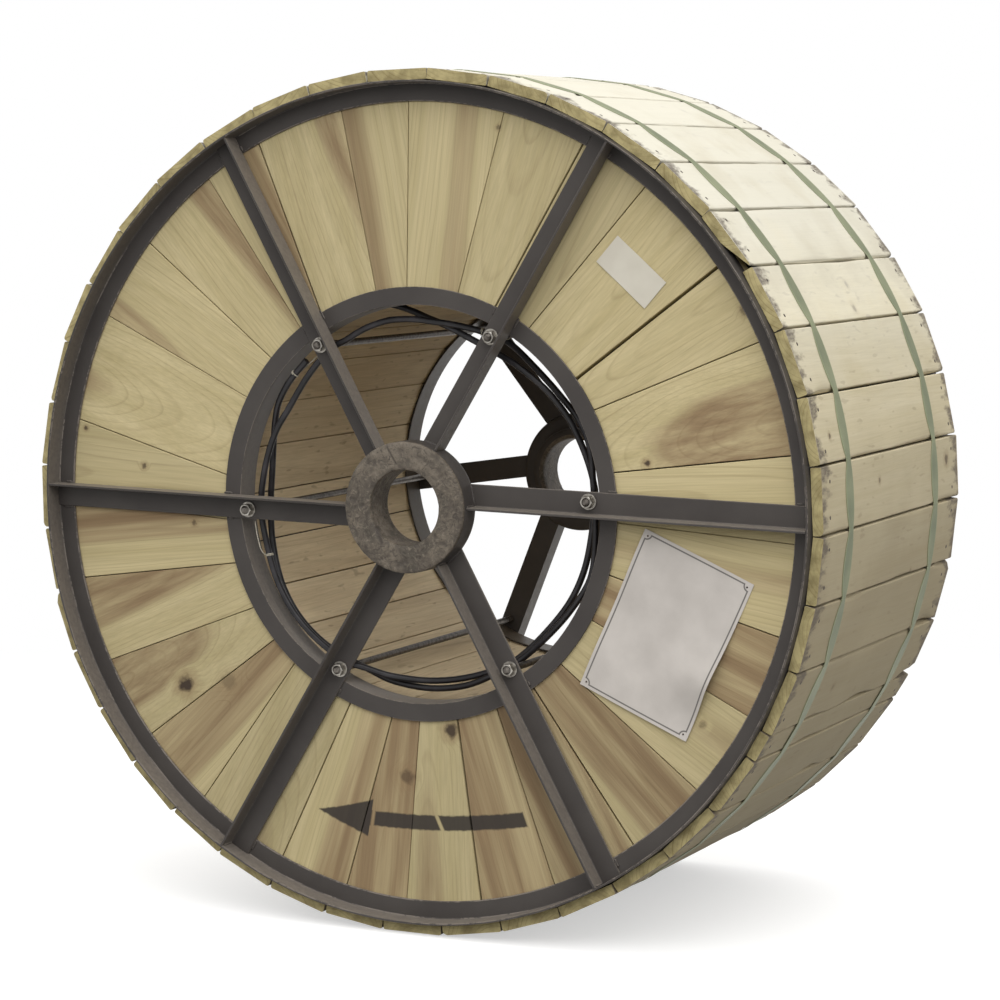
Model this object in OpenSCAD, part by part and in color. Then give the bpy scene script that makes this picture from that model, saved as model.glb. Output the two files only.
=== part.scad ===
// Cable reel of steel and wood, lagged with planks for transport. The drum lies with its axis
// along Y and its front flange towards -Y. The origin is the middle of the spindle bore,
// halfway between the flanges, and +Z is up. Lengths are in millimetres, angles in degrees.

/* [Drum] */
// Outer diameter of the two steel rims
rim_d = 1400; // [1250:10:1600]
// Distance between the flat faces of the two flanges
flange_span = 680; // [520:10:900]

/* [Steel frame] */
// Thickness of the steel angles
angle_t = 4; // [3:0.5:6]
// Radius of the fillet at an angle's root, between its legs
angle_root = 2; // [1:0.5:3]
// Radius of the rounding at an angle's toes
angle_toe = 2; // [1:0.5:2.5]
// Width of the rim's flat leg, over the ends of the flange boards
rim_flat = 34; // [28:1:50]
// Depth of the rim's standing leg, measured from the boards
rim_stand = 40; // [36:1:60]
// Inner diameter of the ring that carries the barrel
ring_d = 665; // [520:5:760]
// Width of the ring's flat leg
ring_flat = 30; // [26:1:50]
// Depth of the ring's inner leg, which reaches into the barrel
ring_deep = 50; // [25:1:60]
// Number of spokes in each flange
spoke_n = 6; // [4:1:8]
// Width of a spoke's flat leg
spoke_flat = 40; // [38:1:60]
// Distance from a spoke's heel to the tie rod that passes through its flat leg
spoke_gauge = 24; // [20:0.5:26]
// Distance of a spoke's heel from the drum's centre
spoke_off = 2; // [0:0.5:8]
// Angle of the first tie rod above the horizontal
spoke_phase = 3.6; // [0:0.1:30]

/* [Hub] */
// Outer diameter of the hub
hub_d = 219; // [190:1:260]
// Bore for the spindle
bore_d = 125; // [80:1:140]
// Thickness of the hub's face ring
hub_t = 50; // [40:1:70]
// How far the hub's face stands out past the rim
hub_out = 10; // [0:1:20]
// Diameter of the boss behind the face ring
boss_d = 165; // [150:1:185]
// Length of the boss behind the face ring
boss_len = 20; // [5:1:60]
// Rounding of the hub's worn edges
hub_round = 5; // [2:0.5:7]

/* [Tie rods] */
// Diameter of a tie rod
rod_d = 12; // [8:1:16]
// Clearance between a rod and the ring
rod_clear = 11; // [2:0.5:16]
// Diameter of a washer
washer_d = 27; // [22:1:30]
// Thickness of a washer
washer_t = 3; // [1.5:0.5:4]
// Width of a nut across its flats
nut_af = 19; // [17:1:21]
// Height of a nut
nut_t = 11; // [8:1:14]
// Length of thread that stands out of a nut
rod_out = 5; // [2:1:12]

/* [Flange boards] */
// Thickness of the flange boards
board_t = 25; // [16:1:40]
// Gap between the boards' ends and the rim's edge
board_back = 1; // [0.5:0.5:4]

/* [Barrel] */
// Number of staves round the barrel
stave_n = 26; // [18:1:36]
// Thickness of a stave
stave_t = 16; // [12:1:22]
// Gap between two staves
stave_gap = 1; // [0.5:0.1:3]

/* [Lagging] */
// Number of full planks round the drum
plank_n = 40; // [30:1:50]
// Thickness of a plank
plank_t = 18; // [10:1:30]
// How far the planks stand out past the flange's flat face at each end
plank_over = 19; // [5:1:30]
// Gap between the inner edges of two planks
plank_gap = 1; // [0.5:0.1:4]
// Angle that the one narrow closing plank fills
closing_angle = 4; // [3:0.1:7]
// How much of a plank's outer edges is worn off
plank_ease = 3; // [1:0.5:6]
// How far the planks' ends stand out of line
plank_uneven = 2; // [0:0.5:4]
// Number of the plank with a waney corner, counted from the lowest one
waned_plank = 14; // [0:1:29]
// Width of that corner's cut at the plank's end
wane_w = 55; // [20:5:70]
// Length of that corner's cut along the plank
wane_len = 160; // [60:10:300]

/* [Straps] */
// Width of a strap
strap_w = 32; // [16:1:50]
// Thickness of a strap
strap_t = 1; // [0.6:0.1:2]
// Distance between the two straps' middles
strap_span = 450; // [200:10:480]

/* [Cable] */
// Outer diameter of the cable
cable_d = 11; // [8:0.5:14]
// Layers of cable wound on the barrel
cable_layers = 22; // [8:1:24]

/* [Hidden] */
$fn = 120;

// Clearance where one piece is seated against a round or flat face of another
seat = 0.3;
// How far a cutting shape runs past what it cuts
past = 1;

rim_r = rim_d / 2;
face_z = flange_span / 2;
board_z = face_z - angle_t;
edge_z = board_z + rim_stand;
ring_r = ring_d / 2;
hub_r = hub_d / 2;

rod_r = ring_r - rod_d / 2 - rod_clear;
// A spoke's heel runs close by the drum's centre, so a spoke is turned this far from its tie rod
spoke_skew = asin((spoke_off + spoke_gauge) / rod_r);
hub_z = edge_z + hub_out;
rod_half = face_z + angle_t + washer_t + nut_t + rod_out;

barrel_r = ring_r + angle_t + seat;
stave_w = 2 * barrel_r * tan(180 / stave_n) - stave_gap;
stave_corner_r = norm([barrel_r + stave_t, stave_w / 2]);
board_in_r = stave_corner_r + seat;
board_out_r = rim_r - board_back;

plank_pitch = (360 - closing_angle) / plank_n;
plank_r = rim_r + seat;
plank_len = flange_span + 2 * plank_over;
// The closing plank comes after this many full planks, counted from the lowest one
closing_after = 7;
// Angle by which the planks' shifts along the drum follow each other
slip_step = 137;

wound_in_r = stave_corner_r + seat;
wound_r = wound_in_r + cable_layers * cable_d;

// Joints between the boards of a flange: the angle at the rim, the angle at the ring, and the gap
board_joints = [
    [9, 11, 2], [25, 28, 1.5], [37, 37, 5], [52, 56, 1.5], [63, 67, 2.5], [76, 78, 1], [91, 93, 1.5],
    [102, 102, 1], [116, 120, 2.5], [126, 127, 1], [140, 139, 1.5], [153, 152, 1], [169, 175, 1.5],
    [181, 187, 1], [193, 199, 1.5], [206, 212, 1], [219, 222, 1.5], [232, 230, 1.5], [247, 250, 2],
    [258, 263, 2], [268, 271, 1], [280, 282, 3], [292, 294, 1.5], [306, 306, 3], [319, 316, 1.5],
    [332, 331, 1], [344, 344, 2], [357, 358, 1]
];

// The cable's inner end, tied inside the barrel: angle, gap to the staves, depth behind the face
tail_route = [
    [106, -15, 60], [101, -3, 60], [96, 10, 59], [91, 22, 57], [86, 30, 54], [80, 38, 50], [73, 44, 45],
    [64, 46, 41], [54, 43, 39], [42, 39, 44], [32, 39, 57], [24, 39, 62], [16, 37, 64], [9, 35, 66],
    [3, 35, 67], [-10, 39, 68], [-21, 38, 71], [-32, 38, 74], [-44, 40, 81], [-57, 35, 86],
    [-66, 31, 83], [-78, 30, 72], [-90, 29, 56], [-102, 29, 36], [-110, 30, 22], [-117, 27.5, 10],
    [-128, 25, 12], [-140, 23, 14], [-152, 25, 15], [-165, 29, 16], [-177, 27.5, 18], [-190, 32, 18],
    [-202, 36, 16], [-212, 41, 15], [-224, 36, 15], [-236, 27.5, 13], [-243, 27, 18], [-250, 22, 25],
    [-258, 20, 29], [-266, 23, 31], [-273, 27, 34], [-280, 28, 44], [-288, 28, 57], [-297, 28, 70],
    [-310, 36, 70], [-323, 34, 69], [-333, 25, 64], [-342, 24, 56], [-350, 27, 48], [-357, 27.5, 46],
    [-369, 23, 48], [-381, 16, 51], [-393, 24, 56], [-405, 29, 62], [-417, 27.5, 67], [-427, 25, 66],
    [-438, 18, 62], [-450, 16, 57], [-462, 18, 48], [-470, 25, 36], [-477, 27.5, 26], [-488, 22, 27],
    [-500, 18, 32], [-512, 19, 38], [-525, 24, 46], [-537, 27.5, 52], [-548, 30, 49], [-556, 27, 43],
    [-564, 21, 33], [-571, 16, 23], [-579, 15, 17], [-588, 15, 14]
];
tail_sides = 8;

// The slot through one stave, by which the cable's inner end comes into the barrel
slot_stave = 7;
slot_depth = tail_route[0][2];
slot_w = cable_d + 4;
slot_len = stave_w - 10;

wood = "#c0b48a";
wood_dark = "#a89d78";
steel = "#45413e";
cast = "#5e564e";
zinc = "#b4b2ac";
strap_green = "#7e8c6c";
jacket = "#2b2a2c";

// Turns a shape drawn with the drum's axis along Z so that its axis lies along Y, front forward
module on_axis() {
    rotate([90, 0, 0]) children();
}

// Places a flange drawn with its outer side towards +Z; the back one is the same flange turned round
module at_flange(front) {
    rotate([0, 0, spoke_phase])
        rotate([front ? 0 : 180, 0, 0])
            children();
}

module tube_ring(outer_r, inner_r, low_z, high_z) {
    difference() {
        translate([0, 0, low_z]) cylinder(r = outer_r, h = high_z - low_z);
        translate([0, 0, low_z - past]) cylinder(r = inner_r, h = high_z - low_z + 2 * past);
    }
}

// Points of a quarter arc, in three steps
function quarter(centre, radius, from, turn) =
    [for (i = [0:3]) centre + radius * [cos(from + i * turn / 3), sin(from + i * turn / 3)]];

// Section of a rolled angle with its heel at the origin: one leg along each axis
function angle_section(leg_x, leg_y) = concat(
    [[0, 0], [leg_x, 0]],
    quarter([leg_x - angle_toe, angle_t - angle_toe], angle_toe, 0, 90),
    quarter([angle_t + angle_root, angle_t + angle_root], angle_root, 270, -90),
    quarter([angle_t - angle_toe, leg_y - angle_toe], angle_toe, 0, 90),
    [[0, leg_y]]
);

// Steel angle rolled into a ring, its flat leg on the boards and its standing leg outwards
module rim() {
    color(steel)
        rotate_extrude()
            polygon([for (p = angle_section(rim_flat, rim_stand)) [rim_r - p.x, board_z + p.y]]);
}

// Steel angle rolled into a ring, its inner leg reaching into the barrel to carry the staves
module ring() {
    color(steel)
        rotate_extrude()
            polygon([for (p = angle_section(ring_flat, ring_deep)) [ring_r + p.x, face_z - p.y]]);
}

// The room inside the rim, round its root fillet, to which the spokes' ends are cut
module rim_room() {
    fillet_r = rim_r - angle_t - angle_root;
    rotate_extrude() {
        polygon(concat(
            [[0, face_z - past], [fillet_r, face_z - past]],
            quarter([fillet_r, face_z + angle_root], angle_root - seat, 270, 90),
            [[rim_r - angle_t - seat, edge_z + past], [0, edge_z + past]]
        ));
    }
}

// The spoke whose tie rod stands on +X: an angle whose flat leg lies on the ring and the rim
module spoke() {
    difference() {
        intersection() {
            rotate([0, 0, -spoke_skew])
                translate([0, spoke_off, face_z])
                    rotate([90, 0, 90])
                        linear_extrude(rim_r)
                            polygon(angle_section(spoke_flat, edge_z - face_z));
            rim_room();
        }
        translate([0, 0, face_z - past]) cylinder(r = hub_r + seat, h = edge_z);
        translate([rod_r, 0, face_z - past]) cylinder(d = rod_d + 1, h = angle_t + 2 * past);
    }
}

module spokes() {
    color(steel) {
        for (i = [0:spoke_n - 1]) {
            rotate([0, 0, i * 360 / spoke_n]) spoke();
        }
    }
}

// Turned hub: a thick face ring with worn edges and a boss behind it
module hub() {
    low_z = hub_z - hub_t;
    r = hub_round;
    color(cast) {
        difference() {
            rotate_extrude() {
                polygon(concat(
                    [[0, low_z - boss_len], [boss_d / 2, low_z - boss_len], [boss_d / 2, low_z],
                        [hub_r, low_z]],
                    [for (a = [0:30:90]) [hub_r - r + r * cos(a), hub_z - r + r * sin(a)]],
                    [for (a = [0:30:90]) [bore_d / 2 + r - r * sin(a), hub_z - r + r * cos(a)]],
                    [[0, hub_z - r]]
                ));
            }
            translate([0, 0, low_z - boss_len - past])
                cylinder(d = bore_d, h = hub_t + boss_len + 2 * past);
        }
    }
}

// A point on a joint line, moved sideways by half the gap
function joint_point(angle, radius, side) =
    radius * [cos(angle), sin(angle)] + side * [-sin(angle), cos(angle)];

// Radial flange boards, held between the rim, the ring and the cable
module boards() {
    n = len(board_joints);
    color(wood) {
        for (i = [0:n - 1]) {
            a = board_joints[i];
            b = board_joints[(i + 1) % n];
            turn = i == n - 1 ? 360 : 0;
            intersection() {
                tube_ring(board_out_r, board_in_r, board_z - board_t, board_z);
                translate([0, 0, board_z - board_t - past])
                    linear_extrude(board_t + 2 * past)
                        polygon([
                            joint_point(a[1], board_in_r * 0.96, a[2] / 2),
                            joint_point(a[0], board_out_r * 1.03, a[2] / 2),
                            joint_point(b[0] + turn, board_out_r * 1.03, -b[2] / 2),
                            joint_point(b[1] + turn, board_in_r * 0.96, -b[2] / 2)
                        ]);
            }
        }
    }
}

// Staves of the barrel, their ends clear of the two rings' root fillets
module barrel_staves() {
    half = board_z - angle_root - seat;
    color(wood_dark) {
        for (i = [0:stave_n - 1]) {
            rotate([0, 0, (i + 0.5) * 360 / stave_n]) {
                difference() {
                    translate([barrel_r, -stave_w / 2, -half]) cube([stave_t, stave_w, 2 * half]);
                    if (i == slot_stave)
                        translate([barrel_r - past, -slot_len / 2, face_z - slot_depth - slot_w / 2])
                            cube([stave_t + 2 * past, slot_len, slot_w]);
                }
            }
        }
    }
}

// The cable wound on the barrel, as one turned body whose ends show its layers
module wound_cable() {
    r = cable_d / 2;
    half = board_z - board_t - seat;
    layers = [
        for (i = [0:cable_layers - 1], a = [0:60:120])
            [wound_in_r + (i + 0.5) * cable_d - r * cos(a), half - r + r * sin(a)]
    ];
    end = concat(layers, [[wound_r, half - r]]);
    color(jacket)
        rotate_extrude()
            polygon(concat(end, [for (i = [len(end) - 1:-1:0]) [end[i].x, -end[i].y]]));
}

module at_rods() {
    for (i = [0:spoke_n - 1]) {
        rotate([0, 0, spoke_phase + i * 360 / spoke_n])
            translate([rod_r, 0, 0])
                children();
    }
}

module tie_rods() {
    color(zinc) at_rods() translate([0, 0, -rod_half]) cylinder(d = rod_d, h = 2 * rod_half);
}

// A washer or a nut has this play round its rod
rod_play = 0.2;

module washers() {
    color(zinc) {
        at_rods() {
            difference() {
                translate([0, 0, face_z + angle_t]) cylinder(d = washer_d, h = washer_t);
                translate([0, 0, face_z]) cylinder(d = rod_d + 2 * rod_play, h = 2 * rod_half);
            }
        }
    }
}

module nuts() {
    color(zinc) {
        at_rods() {
            difference() {
                translate([0, 0, face_z + angle_t + washer_t])
                    cylinder(d = nut_af / cos(30), h = nut_t, $fn = 6);
                translate([0, 0, face_z]) cylinder(d = rod_d + 2 * rod_play, h = 2 * rod_half);
            }
        }
    }
}

// Width of a plank that fills this angle
function plank_w(fills) = 2 * plank_r * tan(fills / 2) - plank_gap;

// One lagging plank, its inner face resting on the rims and its outer edges worn
module plank(angle, fills, slip) {
    w = plank_w(fills) / 2;
    e = plank_ease;
    rotate([0, 0, angle])
        translate([plank_r, 0, slip - plank_len / 2])
            linear_extrude(plank_len)
                polygon([[0, -w], [plank_t - e, -w], [plank_t, e - w], [plank_t, w - e],
                    [plank_t - e, w], [0, w]]);
}

// How far a plank is shifted along the drum
function plank_slip(i) = plank_uneven * sin(i * slip_step);

// The wedge that is missing at the front of a waney plank, at the corner towards the rim
module wane(angle, slip) {
    rotate([0, 0, angle])
        translate([plank_r, -plank_w(plank_pitch) / 2, slip + plank_len / 2])
            polyhedron(
                points = [[-past, -past, past], [0, wane_w, 0], [plank_t - plank_ease, 0, 0], [0, 0, -wane_len]],
                faces = [[0, 1, 2], [0, 3, 1], [0, 2, 3], [1, 3, 2]]
            );
}

// Middle of a full plank, counted from the lowest one
function plank_angle(i) = -90 + i * plank_pitch + (i < closing_after ? 0 : closing_angle);

closing_middle = -90 + (closing_after - 0.5) * plank_pitch + closing_angle / 2;

module lagging_planks() {
    color(wood) {
        for (i = [0:plank_n - 1]) {
            difference() {
                plank(plank_angle(i), plank_pitch, plank_slip(i));
                if (i == waned_plank) wane(plank_angle(i), plank_slip(i));
            }
        }
    }
}

module closing_plank() {
    color(wood) plank(closing_middle, closing_angle, 0);
}

// Corners of a band pulled tight round the full planks, at this distance from the axis
function band(distance) =
    let (flat = plank_w(plank_pitch) / 2 - plank_ease)
    [
        for (i = [0:plank_n - 1], side = [-flat, flat])
            distance * [cos(plank_angle(i)), sin(plank_angle(i))]
                + side * [-sin(plank_angle(i)), cos(plank_angle(i))]
    ];

module strap(middle_z) {
    inner = plank_r + plank_t + seat / 2;
    color(strap_green) {
        translate([0, 0, middle_z - strap_w / 2]) {
            linear_extrude(strap_w) {
                difference() {
                    polygon(band(inner + strap_t));
                    polygon(band(inner));
                }
            }
        }
    }
}

function tail_point(row) =
    let (radius = barrel_r - seat - cable_d / 2 - row[1])
    [radius * cos(row[0]), radius * sin(row[0]), face_z - row[2]];

tail_line = [for (row = tail_route) tail_point(row)];

function unit(v) = v / norm(v);

function tail_ring(i) =
    let (
        n = len(tail_line),
        along = unit(tail_line[min(i + 1, n - 1)] - tail_line[max(i - 1, 0)]),
        side = unit(cross(along, [0, 0, 1])),
        up = cross(side, along)
    )
    [for (k = [0:tail_sides - 1])
        tail_line[i] + cable_d / 2 * (cos(k * 360 / tail_sides) * side + sin(k * 360 / tail_sides) * up)];

module cable_tail() {
    n = len(tail_line);
    m = tail_sides;
    color(jacket) {
        polyhedron(
            points = [for (i = [0:n - 1]) each tail_ring(i)],
            faces = concat(
                [[for (k = [0:m - 1]) k]],
                [for (i = [0:n - 2], k = [0:m - 1])
                    [i * m + k, (i + 1) * m + k, (i + 1) * m + (k + 1) % m, i * m + (k + 1) % m]],
                [[for (k = [m - 1:-1:0]) (n - 1) * m + k]]
            )
        );
    }
}

on_axis() at_flange(true) rim();  // front_rim
on_axis() at_flange(true) ring();  // front_ring
on_axis() at_flange(true) spokes();  // front_spokes
on_axis() at_flange(true) hub();  // front_hub
on_axis() boards();  // front_boards
on_axis() at_flange(false) rim();  // back_rim
on_axis() at_flange(false) ring();  // back_ring
on_axis() at_flange(false) spokes();  // back_spokes
on_axis() at_flange(false) hub();  // back_hub
on_axis() rotate([180, 0, 0]) boards();  // back_boards
on_axis() barrel_staves();
on_axis() wound_cable();
on_axis() tie_rods();
on_axis() washers();  // front_washers
on_axis() nuts();  // front_nuts
on_axis() mirror([0, 0, 1]) washers();  // back_washers
on_axis() mirror([0, 0, 1]) nuts();  // back_nuts
on_axis() lagging_planks();
on_axis() closing_plank();
on_axis() strap(strap_span / 2);  // front_strap
on_axis() strap(-strap_span / 2);  // back_strap
on_axis() cable_tail();
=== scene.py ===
# %% [markdown]
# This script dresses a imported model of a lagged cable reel. The real reel is a welded frame of
# steel angle with wooden boards laid between its rings, a barrel of staves between the two
# flanges, and planks strapped round the whole for transport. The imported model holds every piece
# at its real size. Here each piece gets its worn edges, its finish and its small parts.

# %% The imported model
import math
import random

import bmesh
import bpy
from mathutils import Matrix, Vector, noise


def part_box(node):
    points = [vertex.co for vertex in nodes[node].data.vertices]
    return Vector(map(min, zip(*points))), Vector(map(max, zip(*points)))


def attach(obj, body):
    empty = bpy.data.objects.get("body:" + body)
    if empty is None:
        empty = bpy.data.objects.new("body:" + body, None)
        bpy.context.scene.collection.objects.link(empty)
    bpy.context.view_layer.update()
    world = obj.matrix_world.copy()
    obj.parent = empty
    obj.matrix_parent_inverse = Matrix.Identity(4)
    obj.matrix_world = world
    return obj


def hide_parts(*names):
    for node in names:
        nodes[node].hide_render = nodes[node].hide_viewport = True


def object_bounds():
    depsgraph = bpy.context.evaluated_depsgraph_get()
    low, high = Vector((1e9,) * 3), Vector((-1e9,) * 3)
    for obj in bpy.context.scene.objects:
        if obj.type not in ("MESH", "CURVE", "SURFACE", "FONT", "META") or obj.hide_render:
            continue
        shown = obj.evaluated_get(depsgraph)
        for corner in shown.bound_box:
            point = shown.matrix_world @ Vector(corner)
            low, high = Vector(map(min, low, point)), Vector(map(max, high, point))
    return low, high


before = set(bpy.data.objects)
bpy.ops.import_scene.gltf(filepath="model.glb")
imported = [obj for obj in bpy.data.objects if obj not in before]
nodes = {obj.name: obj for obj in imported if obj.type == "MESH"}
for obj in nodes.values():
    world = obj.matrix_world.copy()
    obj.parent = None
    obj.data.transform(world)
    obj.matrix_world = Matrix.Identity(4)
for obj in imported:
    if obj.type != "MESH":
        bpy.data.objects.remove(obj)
cad_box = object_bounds()
MM = 0.001
print("The packed model spans, in metres:", [round(h - l, 3) for l, h in zip(*cad_box)])

# %% [markdown]
# The camera stands to the right of the reel and a little above its middle, with a long lens, so
# the front flange is almost round and the lagging shows on the right.

# %% Camera
AIM = Vector((0.1545, -0.3400, 0.0155))
AZIMUTH, ELEVATION, DISTANCE = math.radians(24.98), math.radians(5.71), 5.238
LENS, SENSOR = 115.07, 36.0



def new_object(name, data):
    """An object that shows the data, linked into the scene."""
    made = bpy.data.objects.new(name, data)
    bpy.context.scene.collection.objects.link(made)
    return made


camera_data = bpy.data.cameras.new("camera")
camera_data.lens = LENS
camera_data.sensor_width = SENSOR
camera = new_object("camera", camera_data)
backwards = Vector((
    math.sin(AZIMUTH) * math.cos(ELEVATION),
    -math.cos(AZIMUTH) * math.cos(ELEVATION),
    math.sin(ELEVATION),
))
camera.location = AIM + backwards * DISTANCE
camera.rotation_euler = (-backwards).to_track_quat("-Z", "Y").to_euler()
bpy.context.scene.camera = camera
bpy.context.scene.view_settings.view_transform = "Standard"
print("The camera stands at", [round(x, 3) for x in camera.location])

# %% [markdown]
# Every finish below is a node tree. One function adds a node with its settings and links and
# hands back one of its outputs, so that a tree reads like a sum. Another turns a colour as a
# painter would write it into the linear light that Blender works in, and a third works out a
# pattern's scale from the real size of its patches.

# %% Helpers for finishes


def linear(code):
    """The linear colour of an sRGB hex code."""
    shares = [int(code[i:i + 2], 16) / 255 for i in (1, 3, 5)]
    return [s / 12.92 if s <= 0.04045 else ((s + 0.055) / 1.055) ** 2.4 for s in shares] + [1]


def grey(share):
    return (share, share, share, 1)


def every(size):
    """The scale of a pattern whose patches are size millimetres across."""
    return 1 / (size * MM)


def add(tree, kind, inputs=None, out=0, stops=None, **settings):
    """Adds a node and gives its output out. An input is a value or another node's output;
    stops are the (place, colour) pairs of a colour ramp."""
    node = tree.nodes.new("ShaderNode" + kind)
    for name, value in settings.items():
        setattr(node, name, value)
    for name, value in (inputs or {}).items():
        if isinstance(value, bpy.types.NodeSocket):
            tree.links.new(value, node.inputs[name])
        else:
            node.inputs[name].default_value = value
    for number, (place, colour) in enumerate(stops or ()):
        band = node.color_ramp.elements
        element = band[number] if number < 2 else band.new(place)
        element.position, element.color = place, colour
    return node.outputs[out] if node.outputs else node


def finish_named(name, **surface):
    """A new material with its shader, whose values are given by the shader's own socket names."""
    material = bpy.data.materials.new(name)
    material.use_nodes = True
    tree = material.node_tree
    tree.nodes.clear()
    sockets = {key.replace("_", " "): value for key, value in surface.items()}
    surface = add(tree, "BsdfPrincipled", sockets, out="BSDF")
    add(tree, "OutputMaterial", {"Surface": surface})
    print("New finish:", name)
    return material, tree, surface.node


# %% [markdown]
# Sawn wood comes from a log, so its pattern is worked out as in a log. Each board carries the
# place of its every point in the log it was sawn from, measured from the pith. The distance to
# the pith, counted in growth rings, gives straight lines where the board was cut far from the
# pith and pointed arches where it was cut close by. The pith wanders a little inside the log,
# which bends the lines.

# %% Sawn wood: the distance to the pith
PITH_SWAY = 13 * MM


def drawn_out(length, width):
    """The scale of a pattern along the log, from the length and width of its patches."""
    return every(length), every(width), every(width)


def to_pith(tree, place):
    """A place in the log with the pith's wandering taken up, and its distance to the pith."""
    laid = add(tree, "Mapping", {"Vector": place, "Scale": drawn_out(454.5, 142.9)})
    drift = add(tree, "TexNoise", {"Vector": laid, "Scale": 1.0, "Detail": 1.5}, out="Color")
    wander = add(tree, "VectorMath", {
        0: drift, 1: (0, 2 * PITH_SWAY, 2 * PITH_SWAY), 2: (0, -PITH_SWAY, -PITH_SWAY)},
        operation="MULTIPLY_ADD")
    bent = add(tree, "VectorMath", {0: place, 1: wander}, operation="ADD")
    across = add(tree, "VectorMath", {0: bent, 1: (0, 1, 1)}, operation="MULTIPLY")
    return bent, add(tree, "VectorMath", {0: across}, out="Value", operation="LENGTH")


# %% [markdown]
# A knot is the root of a branch. It pushes the rings aside, is dark itself and has a brown halo.
# Both have a ragged edge, so noise is added to the distance from the knot's middle, and the
# nearest of all the knots wins.

# %% Sawn wood: knots


def with_knots(tree, radius, knots):
    """The rings' radius pushed aside, and how much of a dark knot and of a halo there is."""
    spot = add(tree, "TexCoord", out="Object")
    dark = halo = None
    for at, size, depth in knots:
        away = add(tree, "VectorMath", {0: spot, 1: at}, out="Value", operation="DISTANCE")
        swell = add(tree, "MapRange", {
            "Value": away, "From Min": 0.0, "From Max": size * 3.6, "To Min": size * 1.2,
            "To Max": 0.0}, interpolation_type="SMOOTHERSTEP")
        radius = add(tree, "Math", {0: radius, 1: swell}, operation="ADD")
        ragged = add(tree, "TexNoise", {"Vector": spot, "Scale": 0.9 / size, "Detail": 4.0})
        edge = add(tree, "Math", {0: ragged, 1: size * 1.7, 2: away}, operation="MULTIPLY_ADD")
        core = add(tree, "MapRange", {
            "Value": edge, "From Min": size * 1.4, "From Max": size * 2.0, "To Min": depth,
            "To Max": 0.0})
        ring = add(tree, "MapRange", {
            "Value": edge, "From Min": size * 1.5, "From Max": size * 3.2, "To Min": depth * 0.6,
            "To Max": 0.0})
        dark = add(tree, "Math", {0: dark, 1: core}, operation="MAXIMUM") if dark else core
        halo = add(tree, "Math", {0: halo, 1: ring}, operation="MAXIMUM") if halo else ring
    return radius, dark, halo


# %% [markdown]
# Every ring has pale early wood and a dark line of late wood. Summers were good and poor, so
# rings differ in width, and some of their dark lines are faint. The wood is a fast-grown poplar
# or pine, so a ring is about 7 mm wide. Inside the heartwood's radius the pale sapwood turns
# brown, with a soft and streaky edge.

# %% Sawn wood: rings and heartwood
RING = 7 * MM


def late_wood(tree, radius, start):
    """1 on the rings' dark lines and 0 between; start shifts the count of the rings."""
    turns = add(tree, "Math", {0: radius, 1: 1 / RING, 2: start}, operation="MULTIPLY_ADD")
    summer = add(tree, "TexNoise", {"W": turns, "Scale": 0.7, "Detail": 1.0},
                 noise_dimensions="1D")
    turns = add(tree, "Math", {0: summer, 1: 0.9, 2: turns}, operation="MULTIPLY_ADD")
    part = add(tree, "Math", {0: turns}, operation="FRACT")
    late = add(tree, "ValToRGB", {"Fac": part}, stops=[
        (0.0, grey(0.1)), (0.1, grey(0.0)), (0.72, grey(0.1)), (0.9, grey(1.0)),
        (0.95, grey(0.9)), (1.0, grey(0.1))])
    faint = add(tree, "TexNoise", {"W": turns, "Scale": 0.43, "Detail": 2.0},
                noise_dimensions="1D")
    faint = add(tree, "MapRange", {
        "Value": faint, "From Min": 0.35, "From Max": 0.65, "To Min": 0.15, "To Max": 1.0})
    return add(tree, "Math", {0: late, 1: faint}, operation="MULTIPLY")


def heartwood(tree, heart_r, radius, streak):
    """The share of brown heartwood."""
    rim = add(tree, "Math", {0: streak, 1: 24 * MM, 2: radius}, operation="MULTIPLY_ADD")
    inside = add(tree, "Math", {0: heart_r, 1: rim}, operation="SUBTRACT")
    brown = add(tree, "MapRange", {
        "Value": inside, "From Min": -18 * MM, "From Max": -6 * MM})
    depth = add(tree, "MapRange", {
        "Value": streak, "From Min": 0.3, "From Max": 0.6, "To Min": 0.5, "To Max": 1.0})
    return add(tree, "Math", {0: brown, 1: depth}, operation="MULTIPLY")


# %% [markdown]
# The whole finish lays these over each other: sapwood and heartwood in two streaky tones, the
# dark lines, the fibres, specks of mould, and the knots. The saw leaves raised late wood and
# fuzz, and dry wood has no gloss. Real fibres are far finer than these, but 3 mm is the finest
# streak that the picture shows.

# %% Sawn wood: the finish
FIBRE = 3                # millimetres


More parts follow.
